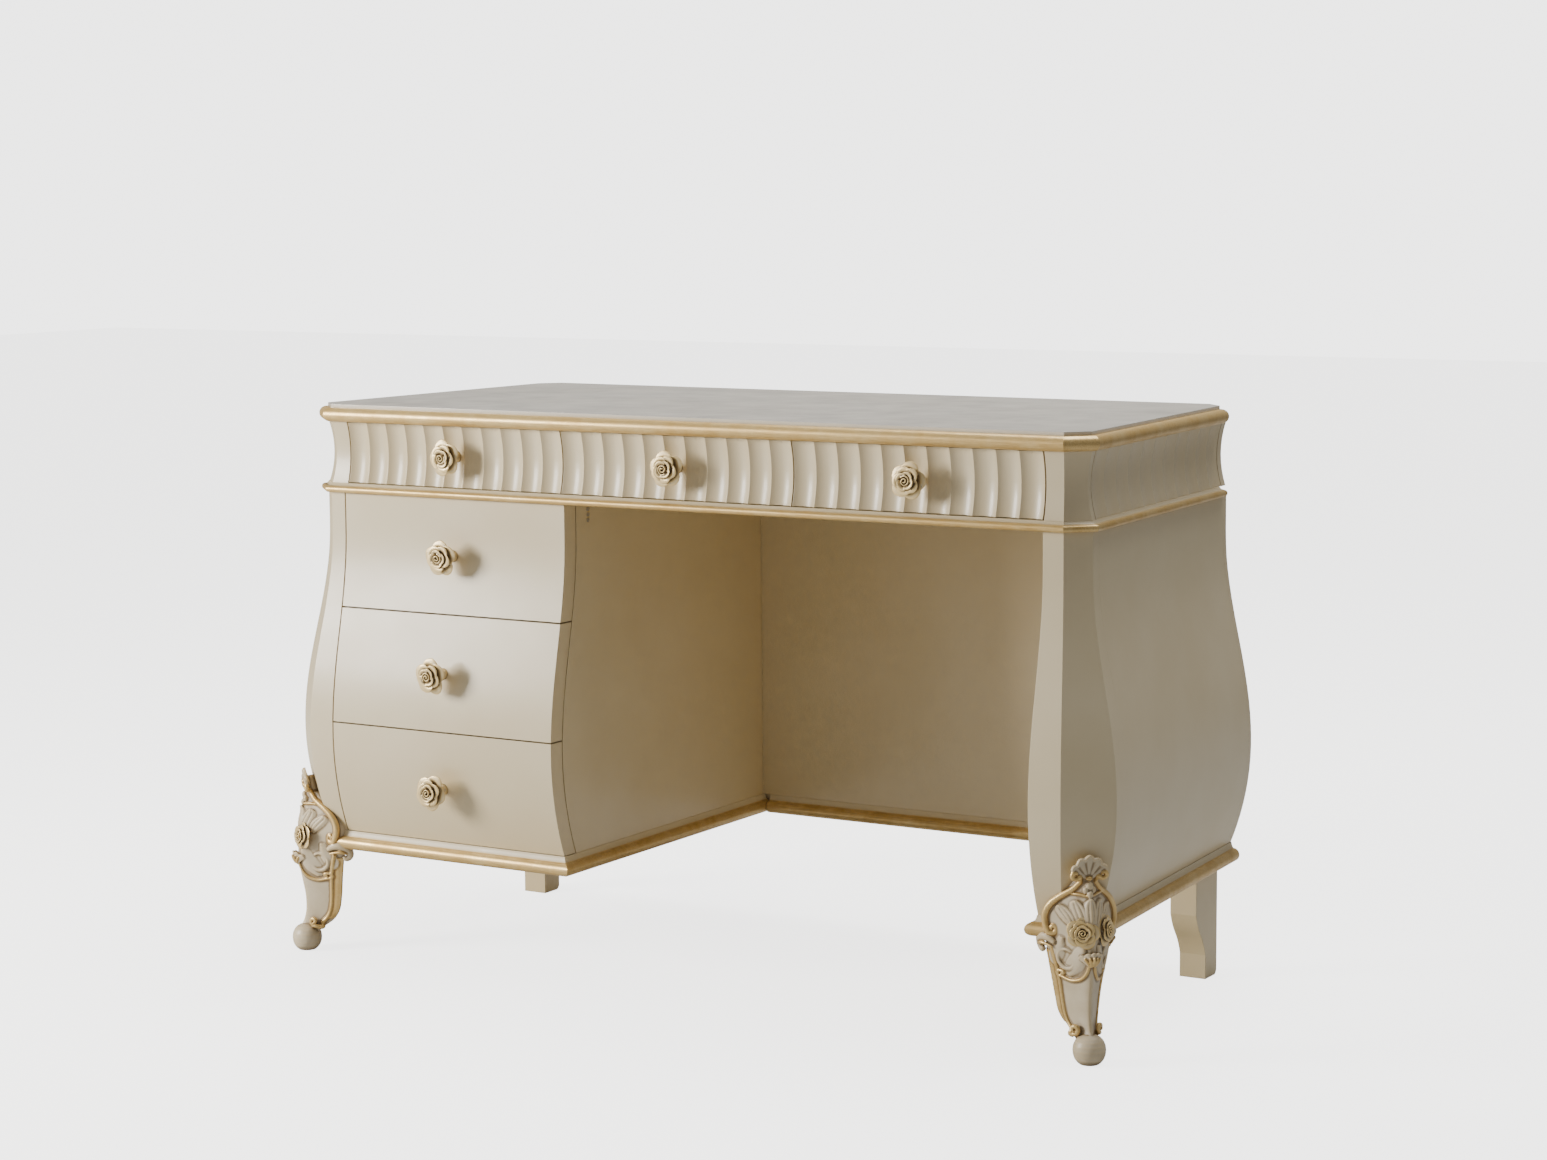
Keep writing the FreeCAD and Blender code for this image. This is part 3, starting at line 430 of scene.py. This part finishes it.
def rose_head():
    """A rose 21 mm in radius and 24 mm deep that opens towards +Z, its back at z = 0."""
    form = Form()
    degree = math.pi / 180
    for first, wobbles, half, foot, (rim, rim_height), extra, cycle, shape in PETAL_ROWS:
        for i, wobble in enumerate(wobbles):
            turn = (i * (360 // len(wobbles)) + first) * degree + wobble * degree
            petal(form, turn, half * degree, foot, (rim, rim_height + extra * (i % cycle)), *shape)
    # the bud: one spiral wall
    turns = np.linspace(0.0, 3.6 * math.pi, 60)
    radius = 0.9 + 5.2 * (turns / turns[-1])
    wall = np.stack([np.stack([radius * np.cos(turns), radius * np.sin(turns), np.full(60, z)], axis=-1)
                     for z in (9.0, 13.0, 17.0, 20.5, 23.0)], axis=1)
    wall[:, -1, 2] -= 1.2 * (turns / turns[-1])
    shell_sheet(form, wall, 1.35)
    lump(form, (0.0, 0.0, 9.5), (10.5, 10.5, 8.0))
    lump(form, (0.0, 0.0, 4.0), (12.5, 12.5, 3.6))
    return form


def lathe(form, profile, sides=32):
    """A turned body from (radius, height) pairs, turned about Z."""
    angles = np.linspace(0.0, 2 * math.pi, sides, endpoint=False)
    rings = [np.column_stack([r * np.cos(angles), r * np.sin(angles), np.full(sides, z)])
             for r, z in profile]
    form.add(np.vstack(rings), ring_faces(len(profile), sides))


def neighbour_mean(values, first, second, count, degree):
    """Each vertex's mean of its neighbours' values, over the edges from first to second."""
    total = np.stack([np.bincount(first, values[second, k], count)
                      + np.bincount(second, values[first, k], count)
                      for k in range(values.shape[1])], axis=1)
    return total / degree[:, None]


def mark_relief(mesh, gain, rounds):
    """Writes the point attribute "relief": 0.5 on plain surface, more on ridges, less in hollows."""
    count = len(mesh.vertices)
    place = np.zeros(count * 3)
    normal = np.zeros(count * 3)
    edges = np.zeros(len(mesh.edges) * 2, int)
    mesh.vertices.foreach_get("co", place)
    mesh.vertices.foreach_get("normal", normal)
    mesh.edges.foreach_get("vertices", edges)
    place, normal, edges = place.reshape(-1, 3), normal.reshape(-1, 3), edges.reshape(-1, 2)
    first, second = edges[:, 0], edges[:, 1]
    degree = np.maximum(np.bincount(edges.ravel(), minlength=count), 1).astype(float)
    calm = place
    for _ in range(rounds):
        calm = neighbour_mean(calm, first, second, count, degree)
    height = ((place - calm) * normal).sum(1)[:, None]
    for _ in range(2):
        height = neighbour_mean(height, first, second, count, degree)
    relief = np.clip(0.5 + gain * height[:, 0] / MM, 0.0, 1.0)
    mark = mesh.attributes.new("relief", "FLOAT", "POINT")
    mark.data.foreach_set("value", relief.astype(np.float32))


def bare_mesh(name, form):
    mesh = bpy.data.meshes.new(name)
    mesh.from_pydata((form.points * MM).tolist(), [], form.faces)
    mesh.update()
    return mesh


def fused(name, forms, voxel, gain, rounds):
    """One skin over all the forms, as if carved from one block. The point attribute "gilt" marks the
    second form, which is gilded."""
    whole = Form()
    for form in forms:
        whole.join(form)
    rough = bpy.data.objects.new(name + "_rough", bare_mesh(name + "_rough", whole))
    bpy.context.scene.collection.objects.link(rough)
    skin = rough.modifiers.new("skin", "REMESH")
    skin.mode = "VOXEL"
    skin.voxel_size = voxel * MM
    soften = rough.modifiers.new("soften", "SMOOTH")
    soften.factor = 0.5
    soften.iterations = 2
    bpy.context.view_layer.update()
    depsgraph = bpy.context.evaluated_depsgraph_get()
    mesh = bpy.data.meshes.new_from_object(rough.evaluated_get(depsgraph))
    mesh.name = name
    bpy.data.objects.remove(rough)
    mark_relief(mesh, gain, rounds)
    mesh.shade_smooth()
    gilt = np.zeros(len(mesh.vertices), np.float32)
    if len(forms) > 1:
        golden = forms[1]
        tree = BVHTree.FromPolygons((golden.points * MM).tolist(), golden.faces)
        for vertex in mesh.vertices:
            if tree.find_nearest(vertex.co, 0.8 * voxel * MM)[0] is not None:
                gilt[vertex.index] = 1.0
    mesh.attributes.new("gilt", "FLOAT", "POINT").data.foreach_set("value", gilt)
    return mesh


def piece(name, mesh, body, slot, material, *nodes):
    """A finished piece that rides on a body, and stands for CAD nodes if any are named."""
    mesh.materials.clear()
    mesh.materials.append(material)
    made = bpy.data.objects.new(name, mesh)
    bpy.context.scene.collection.objects.link(made)
    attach(made, body)
    if nodes:
        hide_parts(*nodes)
    return made


# ---------------------------------------------------------------- rose knobs

# how far each drawer's rose is turned on its stem, in degrees
KNOB_SPIN = {"frieze_left_drawer": 100, "frieze_middle_drawer": 20, "frieze_right_drawer": 215,
             "pedestal_top_drawer": 160, "pedestal_middle_drawer": 300, "pedestal_bottom_drawer": 55}
KNOB_LENGTH = 45.0
KNOB_STRETCH = (1.20, 1.12, 1.0)
STEM = [(7.6, 0.0), (7.9, 1.5), (7.4, 4.5), (5.6, 8.0), (5.0, 12.0), (5.6, 16.0), (8.0, 20.0),
        (11.0, 24.0), (6.0, 30.0)]


def knob_form():
    """A rose on its stem, with the axis along Z: the flower's tip at z = 45, the stem's end at z = 0."""
    form = rose_head()
    form.points *= KNOB_STRETCH
    form.points += (0.0, 0.0, 21.0)
    lathe(form, STEM)
    return form


def screw_form(length):
    """The screw that holds a knob: its shank starts 1 mm inside the stem, and its plain round head ends
    at z = -length, behind the drawer front."""
    form = Form()
    lathe(form, [(0.2, 1.0), (1.9, 0.2), (1.9, 2.0 - length), (4.4, 1.9 - length), (4.4, 1.2 - length),
                 (3.4, 0.3 - length), (1.8, -length), (0.1, -length)], 40)
    return form


def make_knobs():
    mesh = fused("rose_knob", [knob_form()], voxel=0.6, gain=3.4, rounds=9)
    for drawer, spin in KNOB_SPIN.items():
        node = drawer + "_knob"
        low_corner, high_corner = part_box(node)
        middle = (low_corner + high_corner) / 2
        stem_end = Vector((middle.x, low_corner.y + KNOB_LENGTH * MM, middle.z))
        copy = mesh.copy()
        face_front = Matrix.Rotation(math.radians(90), 4, "X")
        turn = Matrix.Rotation(math.radians(spin), 4, "Z")
        copy.transform(Matrix.Translation(stem_end) @ face_front @ turn)
        piece(drawer + "_rose", copy, drawer, "rose_knob", ANTIQUE, node)
        screw = bare_mesh(drawer + "_screw", screw_form((high_corner.y - stem_end.y) / MM))
        screw.transform(Matrix.Translation(stem_end) @ face_front)
        piece(drawer + "_screw", screw, drawer, "screw_steel", STEEL)


make_knobs()

# ---------------------------------------------------------------- corner plugs

PLUG_PLACES = (-167.5, 535.0)     # x of the kneehole's rear corners
PLUG_RUN = (283.0, 286.5, 290.0)  # y from front to back
PLUG_LEVEL = 173.0
PLUG_RADIUS = 6.2


def make_corner_plugs():
    """Short round plugs that close the gap between two base mouldings in the kneehole's rear corners."""
    for number, across in enumerate(PLUG_PLACES):
        form = Form()
        bead(form, [(across, back, PLUG_LEVEL) for back in PLUG_RUN], [PLUG_RADIUS] * 3, 12, 16)
        name = f"corner_plug_{number + 1}"
        mesh = bare_mesh(name, form)
        mesh.shade_smooth()
        piece(name, mesh, "carcass", "gilded_moulding", GILT_BASE)


make_corner_plugs()

# ---------------------------------------------------------------- carved front feet

# A foot's own axes: out along the case's diagonal, across it and up, from FOOT_CORNER on the floor.
FOOT_CORNER = (582.0, -212.35)
# level, ridge (how far out the front corner stands), side corner (half width, out), back corner
# (half width, out)
FOOT_LEVELS = [
    (24.0, 63.0, 11.0, 48.0, 10.0, 38.0),
    (34.0, 59.0, 13.0, 38.0, 13.0, 27.0),
    (45.0, 53.5, 16.5, 26.0, 18.0, 13.0),
    (60.0, 50.5, 20.5, 19.0, 25.0, 5.0),
    (80.0, 51.0, 23.5, 17.0, 28.5, 2.0),
    (100.0, 54.5, 26.5, 17.0, 32.0, 1.0),
    (120.0, 58.0, 30.5, 16.5, 35.5, 0.0),
    (140.0, 60.0, 35.5, 14.0, 38.5, -2.0),
    (158.0, 58.5, 41.0, 10.5, 40.0, -6.0),
    (176.0, 55.0, 43.5, 10.0, 40.0, -6.0),
    (192.0, 53.0, 40.0, 13.0, 38.0, -4.0),
    (206.0, 51.0, 32.0, 20.0, 31.0, 4.0),
    (218.0, 49.0, 22.0, 28.0, 21.0, 14.0),
    (230.0, 47.0, 15.0, 32.0, 14.0, 20.0),
]
FOOT_CURVE = curve_through(FOOT_LEVELS, 131)
BALL_OUT = 50.0
BALL_PROFILE = [(4.0, 0.0), (9.0, 0.0), (12.2, 0.9), (15.2, 3.4), (18.4, 7.5), (20.4, 13.0), (21.0, 19.0),
                (20.2, 25.0), (17.6, 30.6), (14.0, 34.4), (9.0, 37.0), (3.0, 38.5)]


def smooth_section(level):
    """The foot's section at a height: (ridge, side half width, side out, back half width, back out)."""
    return [np.interp(level, FOOT_CURVE[:, 0], FOOT_CURVE[:, k]) for k in range(1, 6)]


def face_out(across, level):
    """How far out the carved face lies, across the foot and at a height: a rounded ridge between two
    sloping faces."""
    ridge, half, side_out = smooth_section(level)[:3]
    t = min(abs(across) / half, 1.15)
    soft = 0.03
    slope = ((t * t + soft) ** 0.60 - soft ** 0.60) / ((1 + soft) ** 0.60 - soft ** 0.60)
    return ridge - (ridge - side_out) * slope


def on_face(points):
    """(across, level, proud) points laid on the carved face, in the foot's axes."""
    return np.array([(face_out(across, level) + proud, across, level) for across, level, proud in points])


def foot_body(form):
    """The plain cabriole shape, as rings of points: front face, side edge and back."""
    front = np.linspace(-1.0, 1.0, 33)
    rings = []
    for level in np.linspace(FOOT_LEVELS[0][0], FOOT_LEVELS[-1][0], 90):
        _, half, side_out, back_half, back_out = smooth_section(level)
        ring = [(face_out(t * half, level), t * half, level) for t in front]
        for share in (0.25, 0.5, 0.75, 1.0):
            bulge = 1.2 * math.sin(math.pi * share)
            ring.append((side_out + (back_out - side_out) * share,
                         half + (back_half - half) * share + bulge, level))
        for share in np.linspace(0.1, 0.9, 9):
            ring.append((back_out, back_half * (1.0 - 2.0 * share), level))
        for share in (0.0, 0.25, 0.5, 0.75):
            bulge = 1.2 * math.sin(math.pi * share)
            ring.append((back_out + (side_out - back_out) * share,
                         -back_half - (half - back_half) * share - bulge, level))
        rings.append(ring)
    form.add(np.vstack(rings), ring_faces(len(rings), len(rings[0])))


def foot_ball(form):
    """A ball with a flat sole, and the short neck that carries the leg."""
    turned = Form()
    lathe(turned, BALL_PROFILE, 40)
    turned.points += (BALL_OUT, 0.0, 0.0)
    form.join(turned)


def leaf(form, root, tip, wide, lift, hook, ribs, thick, side_bend=0.0):
    """An acanthus leaf laid on the face from root to tip: ribbed, bent sideways by side_bend and hooked
    outwards at its tip."""
    m, n = 22, 15
    root, tip = np.array(root, float), np.array(tip, float)
    run = tip - root
    length = np.linalg.norm(run)
    along, beside = run / length, np.array([run[1], -run[0]]) / length
    grid = np.zeros((m, n, 3))
    body = np.zeros((m, n))
    for i, s in enumerate(np.linspace(0.0, 1.0, m)):
        half = wide * (0.42 + 0.80 * math.sin(math.pi * s ** 0.8 * 0.80))
        half *= math.sqrt(1.0 - 0.96 * (max(s - 0.70, 0.0) / 0.30) ** 2)
        bend = side_bend * s * s
        for j, t in enumerate(np.linspace(-1.0, 1.0, n)):
            flat = root + along * (s * length) + beside * (half * t + bend)
            rib = math.cos(math.pi * ribs * t) * (1.0 - 0.5 * s)
            proud = lift * math.sin(math.pi * min(0.12 + s, 1.0) * 0.9)
            proud += hook * max(s - 0.6, 0.0) ** 2 / 0.16
            proud += 1.2 * rib + 1.4 * (1.0 - t * t)
            grid[i, j] = (face_out(flat[0], flat[1]) + proud - 1.2, flat[0], flat[1])
            body[i, j] = thick * (1.0 - 0.45 * s) * (1.0 - 0.45 * t * t)
    shell_sheet(form, grid, body)


def lower_scroll(form, side):
    """The lower C scroll, from the small shell down to its volute under the leaf."""
    proud, steps = 1.4, 22
    lead = [(3.5, 126.0), (6.0, 115.5), (11.0, 107.0), (18.0, 103.8), (24.0, 105.6)]
    points = [(across * side, level, proud) for across, level in lead]
    for i in range(steps):
        share = i / (steps - 1)
        angle = -0.5 * math.pi + side * 1.1 * 2 * math.pi * share
        reach = 4.6 * (1.0 - 0.86 * share ** 0.9)
        points.append((27.0 * side + reach * math.cos(angle), 111.5 + reach * math.sin(angle),
                       proud + 1.6 * share))
    widths = (2.0, 2.1, 2.2, 2.1, 1.7)
    half = np.interp(np.linspace(0, 1, len(points)), np.linspace(0, 1, len(widths)), widths)
    bead(form, on_face(points), half, 87, 12)


def leg_edge(gold, side):
    """The leg's gilded edge, from under the ear down to its volute at the ankle, and the flat gilded
    band behind it."""
    edge_line = []
    for level in (143, 130, 115, 98, 80, 62, 50, 41):
        _, half, side_out, _, _ = smooth_section(level)
        edge_line.append((side_out - 1.0, side * (half + 0.2), level))
    edge_line += [(29.0, side * 17.5, 35.5), (36.0, side * 16.5, 35.0)]
    bead(gold, edge_line, [3.0, 3.4, 3.2, 2.8, 2.6, 2.6, 2.8, 3.2, 3.4, 3.2], 60, 12)
    edge = unit(np.array([0.80, -0.6 * side, 0.0]))
    eye = curl((40.5, side * 15.5, 43.5), edge, -0.60 * math.pi, 1.6 * math.pi, 7.2, (2.0, 2.0 * side, 0.0))
    bead(gold, np.vstack([[(33.0, side * 17.0, 35.2)], eye]), [3.2] + [3.1] * 9 + [2.6] * 5, 60, 12)
    band = []
    for level in np.linspace(137.0, 47.0, 28):
        _, half, side_out, back_half, back_out = smooth_section(level)
        low_end = (back_out + 1.0, side * (back_half + 0.6), level)
        high_end = (side_out - 2.0, side * (half + 1.0), level)
        middle = (np.array(high_end) + np.array(low_end)) / 2 + (0.0, 0.6 * side, 0.0)
        band.append([high_end, tuple(middle), low_end])
    shell_sheet(gold, np.array(band), 1.8)


def knee_scroll(gold, side):
    """The big C scroll of the knee, with its hook behind the rose."""
    knee = [(9.0, 229.0, 1.0), (17.0, 219.0, 1.5), (28.5, 209.5, 2.0), (38.5, 199.0, 2.5),
            (44.0, 187.0, 2.0), (44.5, 175.0, 1.5), (41.5, 164.5, 1.0)]
    line = on_face([(across * side, level, proud) for across, level, proud in knee])
    hook = curl((line[-1][0] + 3.5, 36.0 * side, 167.0), unit(np.array([0.55, -0.83 * side, 0.0])),
                -0.75 * math.pi, 1.25 * math.pi, 7.6, (2.0, 0.5 * side, 0.0))
    whole = np.vstack([line, hook])
    half = np.interp(np.linspace(0, 1, len(whole)), [0, .15, .4, .6, 1], [3.2, 4.4, 5.0, 4.2, 2.6])
    bead(gold, whole, half, 90, 14)


def crest_curl(gold, side):
    """The curl beside the shell crest."""
    eye = curl((46.5, 18.5 * side, 239.0), (0.0, 1.0 * side, 0.0), -0.85 * math.pi, 0.95 * math.pi, 7.0,
               (3.0, 0.0, 0.0))
    root = (face_out(10.0 * side, 228.0) + 1.5, 9.0 * side, 229.0)
    bead(gold, np.vstack([[root], eye]), [3.0] + [3.0] * 9 + [2.4] * 5, 60, 12)


def knee_ear(ivory, gold, side):
    """A leaf that rolls out behind the knee, with a gilded lip."""
    ear = [(22.0, 36.0, 150.0), (14.0, 41.0, 155.0), (5.0, 44.5, 156.0), (-4.0, 45.0, 152.0),
           (-9.0, 44.0, 145.0), (-8.0, 43.0, 139.0), (-3.0, 43.0, 137.0), (0.0, 43.5, 141.0)]
    lip = [(20.0, 38.5, 144.0), (12.0, 43.5, 146.5), (4.0, 48.0, 147.0), (-4.0, 49.5, 144.0)]
    handed = (1.0, side, 1.0)
    bead(ivory, np.array(ear) * handed, [3.0, 5.0, 6.0, 6.2, 5.4, 4.6, 3.8, 2.4], 60, 14)
    bead(gold, np.array(lip) * handed, [1.6, 2.2, 2.4, 1.2], 40, 10)


def lower_knee(ivory, side):
    """Acanthus on the lower knee: two leaves that swirl round a hollow."""
    leaf(ivory, (10.0 * side, 151.0), (17.0 * side, 109.0), 6.5, 2.2, 1.2, 1, 3.0, -3.0 * side)
    leaf(ivory, (29.0 * side, 158.0), (35.0 * side, 121.0), 5.0, 2.2, 2.4, 1, 3.0, 2.0 * side)
    oval = [(24.0 * side + 7.0 * math.cos(a),
             131.0 + 12.0 * math.sin(a) + 3.0 * side * math.cos(a), 1.4)
            for a in np.linspace(0.35 * math.pi, 2.15 * math.pi, 22)]
    bead(ivory, on_face(oval), 1.2 + 1.8 * np.sin(np.linspace(0.0, math.pi, 22)), 60, 12)


def leaf_fan(ivory, gold):
    """The fan of leaves behind the roses, with the bud over it and the bud's two gilded stems."""
    leaf(ivory, (0.0, 172.0), (0.0, 209.0), 6.6, 3.2, 3.4, 3, 3.4)
    for side in MIRROR:
        leaf(ivory, (8.0 * side, 172.0), (15.0 * side, 206.5), 6.2, 2.8, 3.4, 3, 3.2, 2.0 * side)
        leaf(ivory, (19.0 * side, 174.0), (29.5 * side, 199.0), 5.4, 2.4, 3.0, 3, 3.0, 3.0 * side)
    for across, level, radius in ((0.0, 224.5, 4.6), (-4.6, 219.5, 3.8), (4.6, 219.5, 3.8),
                                  (0.0, 214.0, 4.0)):
        lump(ivory, (face_out(across, level) + 1.0, across, level), (3.6, radius, radius * 1.15))
    spine = [(0.0, 211.0, 0.5), (0.0, 217.0, 0.5), (0.0, 224.0, 0.5)]
    bead(ivory, on_face(spine), [2.4, 2.0, 1.6], 16, 10)
    for side in MIRROR:
        stem = [(3.0 * side, 212.0, 1.0), (12.0 * side, 213.5, 1.2), (20.0 * side, 213.0, 1.0)]
        bead(gold, on_face(stem), [1.3, 1.7, 1.2], 24, 10)


def lobed_fan(form, rows, columns, spread, root, thick, reach_at, out_at):
    """A shell of five lobes that flare out from one root. reach_at gives a point's distance from the root
    and out_at how far out it lies, from s, its share of the way to the rim, t, its share across, and
    crown, which is 1 on a lobe's middle and 0 between two."""
    grid = np.zeros((rows, columns, 3))
    for i, s in enumerate(np.linspace(0.0, 1.0, rows)):
        for j, t in enumerate(np.linspace(-1.0, 1.0, columns)):
            crown = abs(math.cos(2.5 * math.pi * t))
            reach = reach_at(s, t, crown)
            angle = t * spread
            across, level = reach * math.sin(angle), root + reach * math.cos(angle)
            grid[i, j] = (out_at(s, crown, across, level), across, level)
    shell_sheet(form, grid, thick)


def shell_crest(ivory, gold):
    """The shell that crowns the foot, its core and the gilded knop at its root."""
    lobed_fan(ivory, 20, 61, 1.16, 231.5, 4.2,
              lambda s, t, crown: 4.0 + 27.5 * s * (1.0 - 0.13 * (1.0 - crown) * s) * (1.0 - 0.14 * abs(t)),
              lambda s, crown, across, level:
              42.5 + 6.5 * s ** 2 + 2.3 * crown * math.sin(math.pi * min(s * 0.8 + 0.2, 1.0)))
    bead(ivory, [(36.0, 0.0, 226.0), (38.0, 0.0, 240.0), (39.5, 0.0, 252.0)], [9.0, 8.0, 4.5], 24, 16)
    lump(gold, (47.5, 0.0, 233.5), (2.6, 4.2, 2.8))


def small_shell(ivory, gold):
    """The small shell between the two lower scrolls, with its gilded ribs."""
    lobed_fan(ivory, 12, 41, 0.86, 123.0, 3.0,
              lambda s, t, crown: 3.0 + 18.5 * s * (1.0 - 0.12 * (1.0 - crown)),
              lambda s, crown, across, level: face_out(across, level) + 1.5 + 4.0 * s + 1.8 * crown)
    for across in (-10.5, -5.2, 0.0, 5.2, 10.5):
        rib = [(across * 0.35, 126.5, 5.2), (across * 0.7, 132.5, 7.4),
               (across, 138.5 - abs(across) * 0.2, 9.0)]
        bead(gold, on_face(rib), [1.3, 1.9, 1.3], 14, 8)


MIRROR = (1.0, -1.0)


def foot_forms():
    """The right-hand foot's ivory and gilded forms, in its own axes."""
    ivory, gold = Form(), Form()
    foot_body(ivory)
    foot_ball(ivory)
    for side in MIRROR:
        leg_edge(gold, side)
        knee_scroll(gold, side)
        crest_curl(gold, side)
        knee_ear(ivory, gold, side)
        lower_knee(ivory, side)
        lower_scroll(gold, side)
    leaf_fan(ivory, gold)
    shell_crest(ivory, gold)
    small_shell(ivory, gold)
    return ivory, gold


def at_corner(form, side):
    """A form in the foot's own axes, put at the right (1) or left (-1) front corner of the case."""
    placed = Form()
    out, across, up = form.points.T
    x = side * (FOOT_CORNER[0] + (out + across) / math.sqrt(2))
    y = FOOT_CORNER[1] + (across - out) / math.sqrt(2)
    placed.points = np.column_stack([x, y, up])
    placed.faces = list(form.faces) if side > 0 else [tuple(reversed(face)) for face in form.faces]
    return placed


FOOT_ROSES = ((21.0, 46.0), (-9.5, -22.0))  # place across the foot, turn from its diagonal in degrees
FOOT_ROSE_LEVEL = 167.0
FOOT_ROSE_SCALE = (0.98, 0.98, 0.78)
FOOT_ROSE_SINK = (0.0, 0.0, -6.5)


def make_feet():
    ivory, gold = foot_forms()
    for side, node in ((1, "front_foot_right"), (-1, "front_foot_left")):
        forms = [at_corner(form, side) for form in (ivory, gold)]
        mesh = fused(node + "_carving", forms, voxel=0.8, gain=1.8, rounds=10)
        piece(node + "_carving", mesh, "carcass", "carved_foot", CARVED, node)
        for number, (across, lean) in enumerate(FOOT_ROSES):
            place_rose(node, number, across, lean, side)


def place_rose(node, number, across, lean, side):
    """A rose on a foot's knee, turned by lean degrees from the foot's own diagonal."""
    rose = rose_head()
    rose.points *= FOOT_ROSE_SCALE
    rose.points += FOOT_ROSE_SINK
    level = FOOT_ROSE_LEVEL
    lean = math.radians(lean)
    facing = np.array([math.cos(lean), math.sin(lean), 0.10])
    facing = facing / np.linalg.norm(facing)
    up = unit(np.array([0.0, 0.0, 1.0]) - facing * facing[2])
    sideways = np.cross(up, facing)
    turn = math.radians(25 + 47 * number)
    first = math.cos(turn) * sideways + math.sin(turn) * up
    second = np.cross(facing, first)
    rose.points = rose.points @ np.vstack([first, second, facing])
    rose.points += (face_out(across, level) + 0.5, across, level)
    name = f"{node}_rose_{number + 1}"
    mesh = fused(name, [at_corner(rose, side)], voxel=0.55, gain=3.2, rounds=8)
    piece(name, mesh, "carcass", "carved_foot", GILT_ROSE)


make_feet()

# ---------------------------------------------------------------- studio and camera

# the camera that was fitted to the table's edges: place in metres, turns in degrees, lens in mm
CAMERA_PLACE = (2.34036, -3.83007, 1.10245)
CAMERA_YAW, CAMERA_PITCH, CAMERA_ROLL = 31.253, 7.145, -0.451
CAMERA_LENS = 76.48

# name, place, target, width, height (metres), power (watts), colour
LIGHTS = [
    ("key_light", (-2.45, -2.3, 1.3), (0.0, 0.0, 0.45), 1.1, 1.1, 158.0, (1.0, 0.985, 0.96)),
    ("overhead", (0.3, 0.6, 3.2), (0.0, 0.2, 0.4), 2.6, 2.0, 125.0, (1.0, 1.0, 1.0)),
]
WORLD_LIGHT = 0.205   # how strongly the surroundings light the table
WORLD_SEEN = 3.6      # how strongly the camera sees them
PAPER_GLOW = 3.1      # how strongly the floor shines to the camera alone
FLOOR_HALF = 14.0


def look_from(place, yaw, pitch, roll, lens):
    """A camera at a place, turned left by yaw, down by pitch and about its own line of sight by roll
    (radians)."""
    sight = Vector((-math.sin(yaw) * math.cos(pitch), math.cos(yaw) * math.cos(pitch), -math.sin(pitch)))
    level = Vector((math.cos(yaw), math.sin(yaw), 0.0))
    upright = level.cross(sight)
    right = math.cos(roll) * level + math.sin(roll) * upright
    up = math.cos(roll) * upright - math.sin(roll) * level
    data = bpy.data.cameras.new("camera")
    data.sensor_width = 36.0
    data.sensor_fit = "HORIZONTAL"
    data.lens = lens
    data.clip_end = 60.0
    made = bpy.data.objects.new("camera", data)
    turn = Matrix((right, up, -sight)).transposed().to_4x4()
    made.matrix_world = Matrix.Translation(place) @ turn
    bpy.context.scene.collection.objects.link(made)
    bpy.context.scene.camera = made


def softbox(name, place, target, width, height, power, colour):
    data = bpy.data.lights.new(name, "AREA")
    data.shape = "RECTANGLE"
    data.size, data.size_y = width, height
    data.energy = power
    data.color = colour
    made = bpy.data.objects.new(name, data)
    made.location = place
    made.rotation_euler = (Vector(target) - Vector(place)).to_track_quat("-Z", "Y").to_euler()
    bpy.context.scene.collection.objects.link(made)


def pale_floor(name):
    """Studio paper: it shows nearly white, and throws back no more light than plain paper does."""
    s = Shader(name)
    colour = s.blend(s.noise(3.0), PAPER, PAPER_PALE)
    seen = s.node("ShaderNodeLightPath").outputs["Is Camera Ray"]
    return s.finish(Base_Color=colour, Roughness=0.8, Emission_Color=STUDIO_WHITE,
                    Emission_Strength=s.remap(seen, 0.0, 1.0, 0.0, PAPER_GLOW))


def surroundings():
    """Even light from all round, which the camera sees brighter than it lights."""
    world = bpy.data.worlds.new("studio")
    bpy.context.scene.world = world
    world.use_nodes = True
    tree = world.node_tree
    background = tree.nodes["Background"]
    background.inputs["Color"].default_value = STUDIO_WHITE
    path = tree.nodes.new("ShaderNodeLightPath")
    level = tree.nodes.new("ShaderNodeMapRange")
    level.inputs["To Min"].default_value = WORLD_LIGHT
    level.inputs["To Max"].default_value = WORLD_SEEN
    tree.links.new(path.outputs["Is Camera Ray"], level.inputs["Value"])
    tree.links.new(level.outputs["Result"], background.inputs["Strength"])


def lay_floor():
    mesh = bpy.data.meshes.new("floor")
    corners = [(-FLOOR_HALF, -FLOOR_HALF, 0), (FLOOR_HALF, -FLOOR_HALF, 0),
               (FLOOR_HALF, FLOOR_HALF, 0), (-FLOOR_HALF, FLOOR_HALF, 0)]
    mesh.from_pydata(corners, [], [(0, 1, 2, 3)])
    mesh.materials.append(pale_floor("pale_floor"))
    floor = bpy.data.objects.new("floor", mesh)
    bpy.context.scene.collection.objects.link(floor)


look_from(Vector(CAMERA_PLACE), math.radians(CAMERA_YAW), math.radians(CAMERA_PITCH),
          math.radians(CAMERA_ROLL), CAMERA_LENS)
for light in LIGHTS:
    softbox(*light)
surroundings()
lay_floor()
